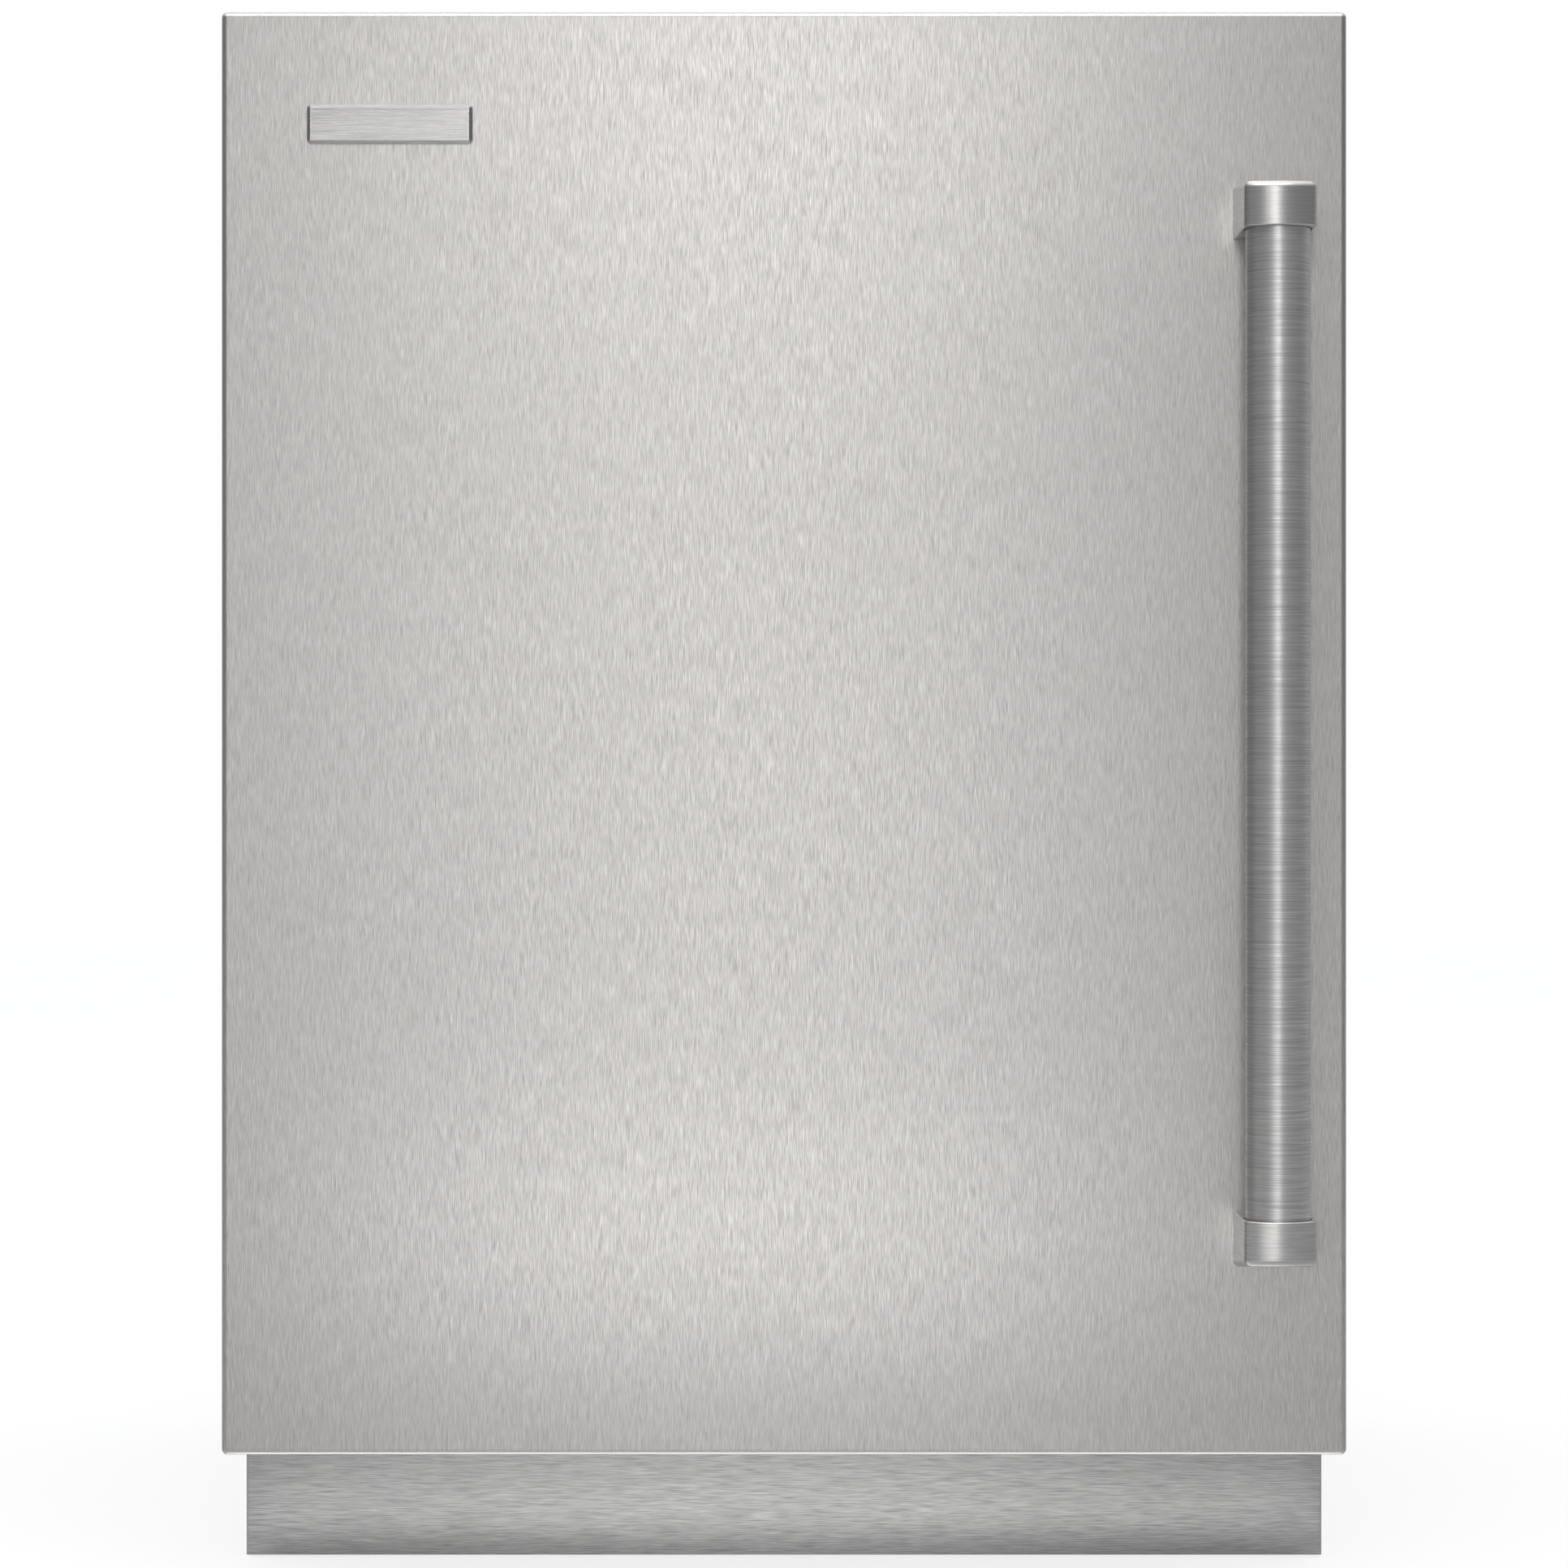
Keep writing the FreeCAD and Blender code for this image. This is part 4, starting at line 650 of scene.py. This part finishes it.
def louvreTree():
    tree, given = newTree("louvreTree", {
        "Columns": "Int", "Rows": "Int", "Column spacing": "Float", "Row spacing": "Float",
        "Length": "Float", "Reach": "Float", "Height": "Float", "Finish": "Material"})

    def gaps(count, spacing):
        fewer = addNode(tree, "ShaderNodeMath", {0: count, 1: 1.0}, operation="SUBTRACT")
        return addNode(tree, "ShaderNodeMath", {0: fewer.outputs[0], 1: spacing},
                       operation="MULTIPLY").outputs[0]

    grid = addNode(tree, "GeometryNodeMeshGrid", {
        "Size X": gaps(given["Columns"], given["Column spacing"]),
        "Size Y": gaps(given["Rows"], given["Row spacing"]),
        "Vertices X": given["Columns"], "Vertices Y": given["Rows"]})
    upright = addNode(tree, "GeometryNodeTransform", {"Geometry": grid.outputs["Mesh"],
                                                      "Rotation": (math.pi / 2, 0, 0)})
    quarter = addNode(tree, "GeometryNodeCurveArc", {
        "Resolution": 8, "Radius": 1.0, "Start Angle": math.pi, "Sweep Angle": math.pi / 2,
        "Connect Center": True})
    section = addNode(tree, "ShaderNodeCombineXYZ", {"X": given["Reach"], "Y": given["Height"], "Z": 1.0})
    sized = addNode(tree, "GeometryNodeTransform", {"Geometry": quarter.outputs[0],
                                                    "Scale": section.outputs[0]})
    half = addNode(tree, "ShaderNodeMath", {0: given["Length"], 1: 0.5}, operation="MULTIPLY")
    minus = addNode(tree, "ShaderNodeMath", {0: half.outputs[0], 1: -1.0}, operation="MULTIPLY")
    left = addNode(tree, "ShaderNodeCombineXYZ", {"X": minus.outputs[0]})
    right = addNode(tree, "ShaderNodeCombineXYZ", {"X": half.outputs[0]})
    ridge = addNode(tree, "GeometryNodeCurvePrimitiveLine", {"Start": left.outputs[0],
                                                             "End": right.outputs[0]})
    hood = addNode(tree, "GeometryNodeCurveToMesh", {
        "Curve": ridge.outputs[0], "Profile Curve": sized.outputs[0], "Fill Caps": True})
    placed = addNode(tree, "GeometryNodeInstanceOnPoints", {"Points": upright.outputs[0],
                                                            "Instance": hood.outputs[0]})
    endTree(tree, placed.outputs[0], given["Finish"])
    return tree


def louvreHoods(values):
    start = pointMesh("louvreStart", [(0, 0, 0)])
    sizes = {key: value for key, value in values.items() if key != "firstSlot"}
    hoods = grownPiece("louvreHoods", louvreTree(), {**sizes, "Finish": finishes["blackPaint"]},
                       start, "cabinet")
    low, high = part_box("rear_cover")
    points = hoods.data.vertices
    lowest = Vector([min(v.co[i] for v in points) for i in range(3)])
    highest = Vector([max(v.co[i] for v in points) for i in range(3)])
    print("   hoods reach", [round(c / mm, 1) for c in highest - lowest])
    hoods.data.transform(Matrix.Translation(
        (-(lowest.x + highest.x) / 2, high.y - lowest.y, values["firstSlot"] - lowest.z)))


louvreHoods(louvreValues)

print("door seal")
sealValues = {
    "outerHalf": 276.0, "innerHalf": 260.0,
    "lowerEdge": 90.0, "upperEdge": 826.0,   # of the ring's outer outline
    # the ring's section, as share of its width from the outer edge and as depth from the door
    "section": [(0.12, 0.0), (0.88, 0.0), (0.93, 0.9), (0.93, 2.2), (0.78, 3.0), (0.66, 3.9), (0.78, 4.8),
                (0.9, 5.5), (0.78, 6.2), (0.68, 7.0), (0.8, 7.7), (0.97, 8.2), (1.0, 9.0), (0.98, 10.7),
                (0.9, 11.4), (0.5, 11.6), (0.1, 11.4), (0.02, 10.7), (0.0, 9.0), (0.03, 8.2), (0.2, 7.7),
                (0.32, 7.0), (0.22, 6.2), (0.1, 5.5), (0.22, 4.8), (0.34, 3.9), (0.22, 3.0), (0.07, 2.2),
                (0.07, 0.9)],
}


# bellows seal: one section carried round the door with welded corners
def doorSeal(values):
    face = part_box("door_gasket")[0].y
    width = (values["outerHalf"] - values["innerHalf"]) * mm
    shape = bmesh.new()
    corners = []
    for signX, signZ in ((-1, -1), (1, -1), (1, 1), (-1, 1)):
        edgeZ = values["lowerEdge"] if signZ < 0 else values["upperEdge"]
        corner = []
        for share, depth in values["section"]:
            inward = share * width
            corner.append(shape.verts.new((signX * (values["outerHalf"] * mm - inward), face + depth * mm,
                                           edgeZ * mm - signZ * inward)))
        corners.append(corner)
    count = len(values["section"])
    for here, there in zip(corners, corners[1:] + corners[:1]):
        for step in range(count):
            after = (step + 1) % count
            shape.faces.new((here[step], here[after], there[after], there[step]))
    bmesh.ops.recalc_face_normals(shape, faces=shape.faces)
    mesh = bpy.data.meshes.new("doorSeal")
    shape.to_mesh(mesh)
    shape.free()
    mesh.materials.append(finishes["sealPvc"])
    placedPiece("doorSeal", mesh, "door", ["door_gasket"])


doorSeal(sealValues)

print("display digits and button marks")
digitValues = {
    "number": "38", "height": 9.0, "width": 5.0, "stroke": 1.1, "gap": 0.35, "spacing": 7.4,
    "proud": 0.12,
}
# segments that are lit for each figure, in the order top, upper right, lower right, bottom, lower
# left, upper left, middle
litSegments = {"3": "1111001", "8": "1111111"}


# seven-segment figures, lit behind the display's window
def displayDigits(values):
    low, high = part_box("display_window")
    front = low.y
    middle = (low + high) / 2
    width, height = values["width"] * mm, values["height"] * mm
    stroke, gap = values["stroke"] * mm, values["gap"] * mm
    half = height / 2
    boxes = []
    for place, figure in enumerate(values["number"]):
        shift = (place - (len(values["number"]) - 1) / 2) * values["spacing"] * mm
        left, right = middle.x + shift - width / 2, middle.x + shift + width / 2
        bottom, centre, top = middle.z - half, middle.z, middle.z + half
        inner = (left + stroke + gap, right - stroke - gap)
        leftBar, rightBar = (left, left + stroke), (right - stroke, right)
        upper, lower = (centre + gap, top), (bottom, centre - gap)
        segments = [
            (*inner, top - stroke, top), (*rightBar, *upper), (*rightBar, *lower),
            (*inner, bottom, bottom + stroke), (*leftBar, *lower), (*leftBar, *upper),
            (*inner, centre - stroke / 2, centre + stroke / 2)]
        for lit, (x0, x1, z0, z1) in zip(litSegments[figure], segments):
            if lit == "1":
                boxes.append(((x0, front - values["proud"] * mm, z0), (x1, front, z1)))
    mesh = boxesMesh("displayDigits", boxes)
    mesh.materials.append(finishes["litSegment"])
    placedPiece("displayDigits", mesh, "cabinet")


displayDigits(digitValues)

markValues = {
    "reach": 2.6, "stroke": 0.9, "proud": 0.12,
    "ringDots": 12, "ringStart": -235, "ringSweep": 290,    # the power mark's open ring, in degrees
}


# raised marks on the push buttons: a bar for colder, a cross for warmer, a barred ring for power
def buttonMarks(values):
    reach, stroke, proud = (values[key] * mm for key in ("reach", "stroke", "proud"))

    def bar(x, front, z, halfX, halfZ):
        return ((x - halfX, front - proud, z - halfZ), (x + halfX, front + proud, z + halfZ))

    for name in ("power", "colder", "warmer"):
        low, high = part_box("button_" + name)
        x, z, front = (low.x + high.x) / 2, (low.z + high.z) / 2, low.y
        bars = []
        if name == "power":
            bars.append(bar(x, front, z + reach * 0.75, stroke / 2, reach * 0.45))
            dots = values["ringDots"]
            for step in range(dots):
                angle = math.radians(values["ringStart"] + values["ringSweep"] * step / (dots - 1))
                bars.append(bar(x + reach * 0.9 * math.cos(angle), front, z + reach * 0.9 * math.sin(angle),
                                stroke / 2, stroke / 2))
        else:
            bars.append(bar(x, front, z, reach, stroke / 2))
        if name == "warmer":
            bars.append(bar(x, front, z, stroke / 2, reach))
        mesh = boxesMesh("mark_" + name, bars)
        mesh.materials.append(finishes["markPaint"])
        placedPiece("mark_" + name, mesh, name + "_button")


buttonMarks(markValues)
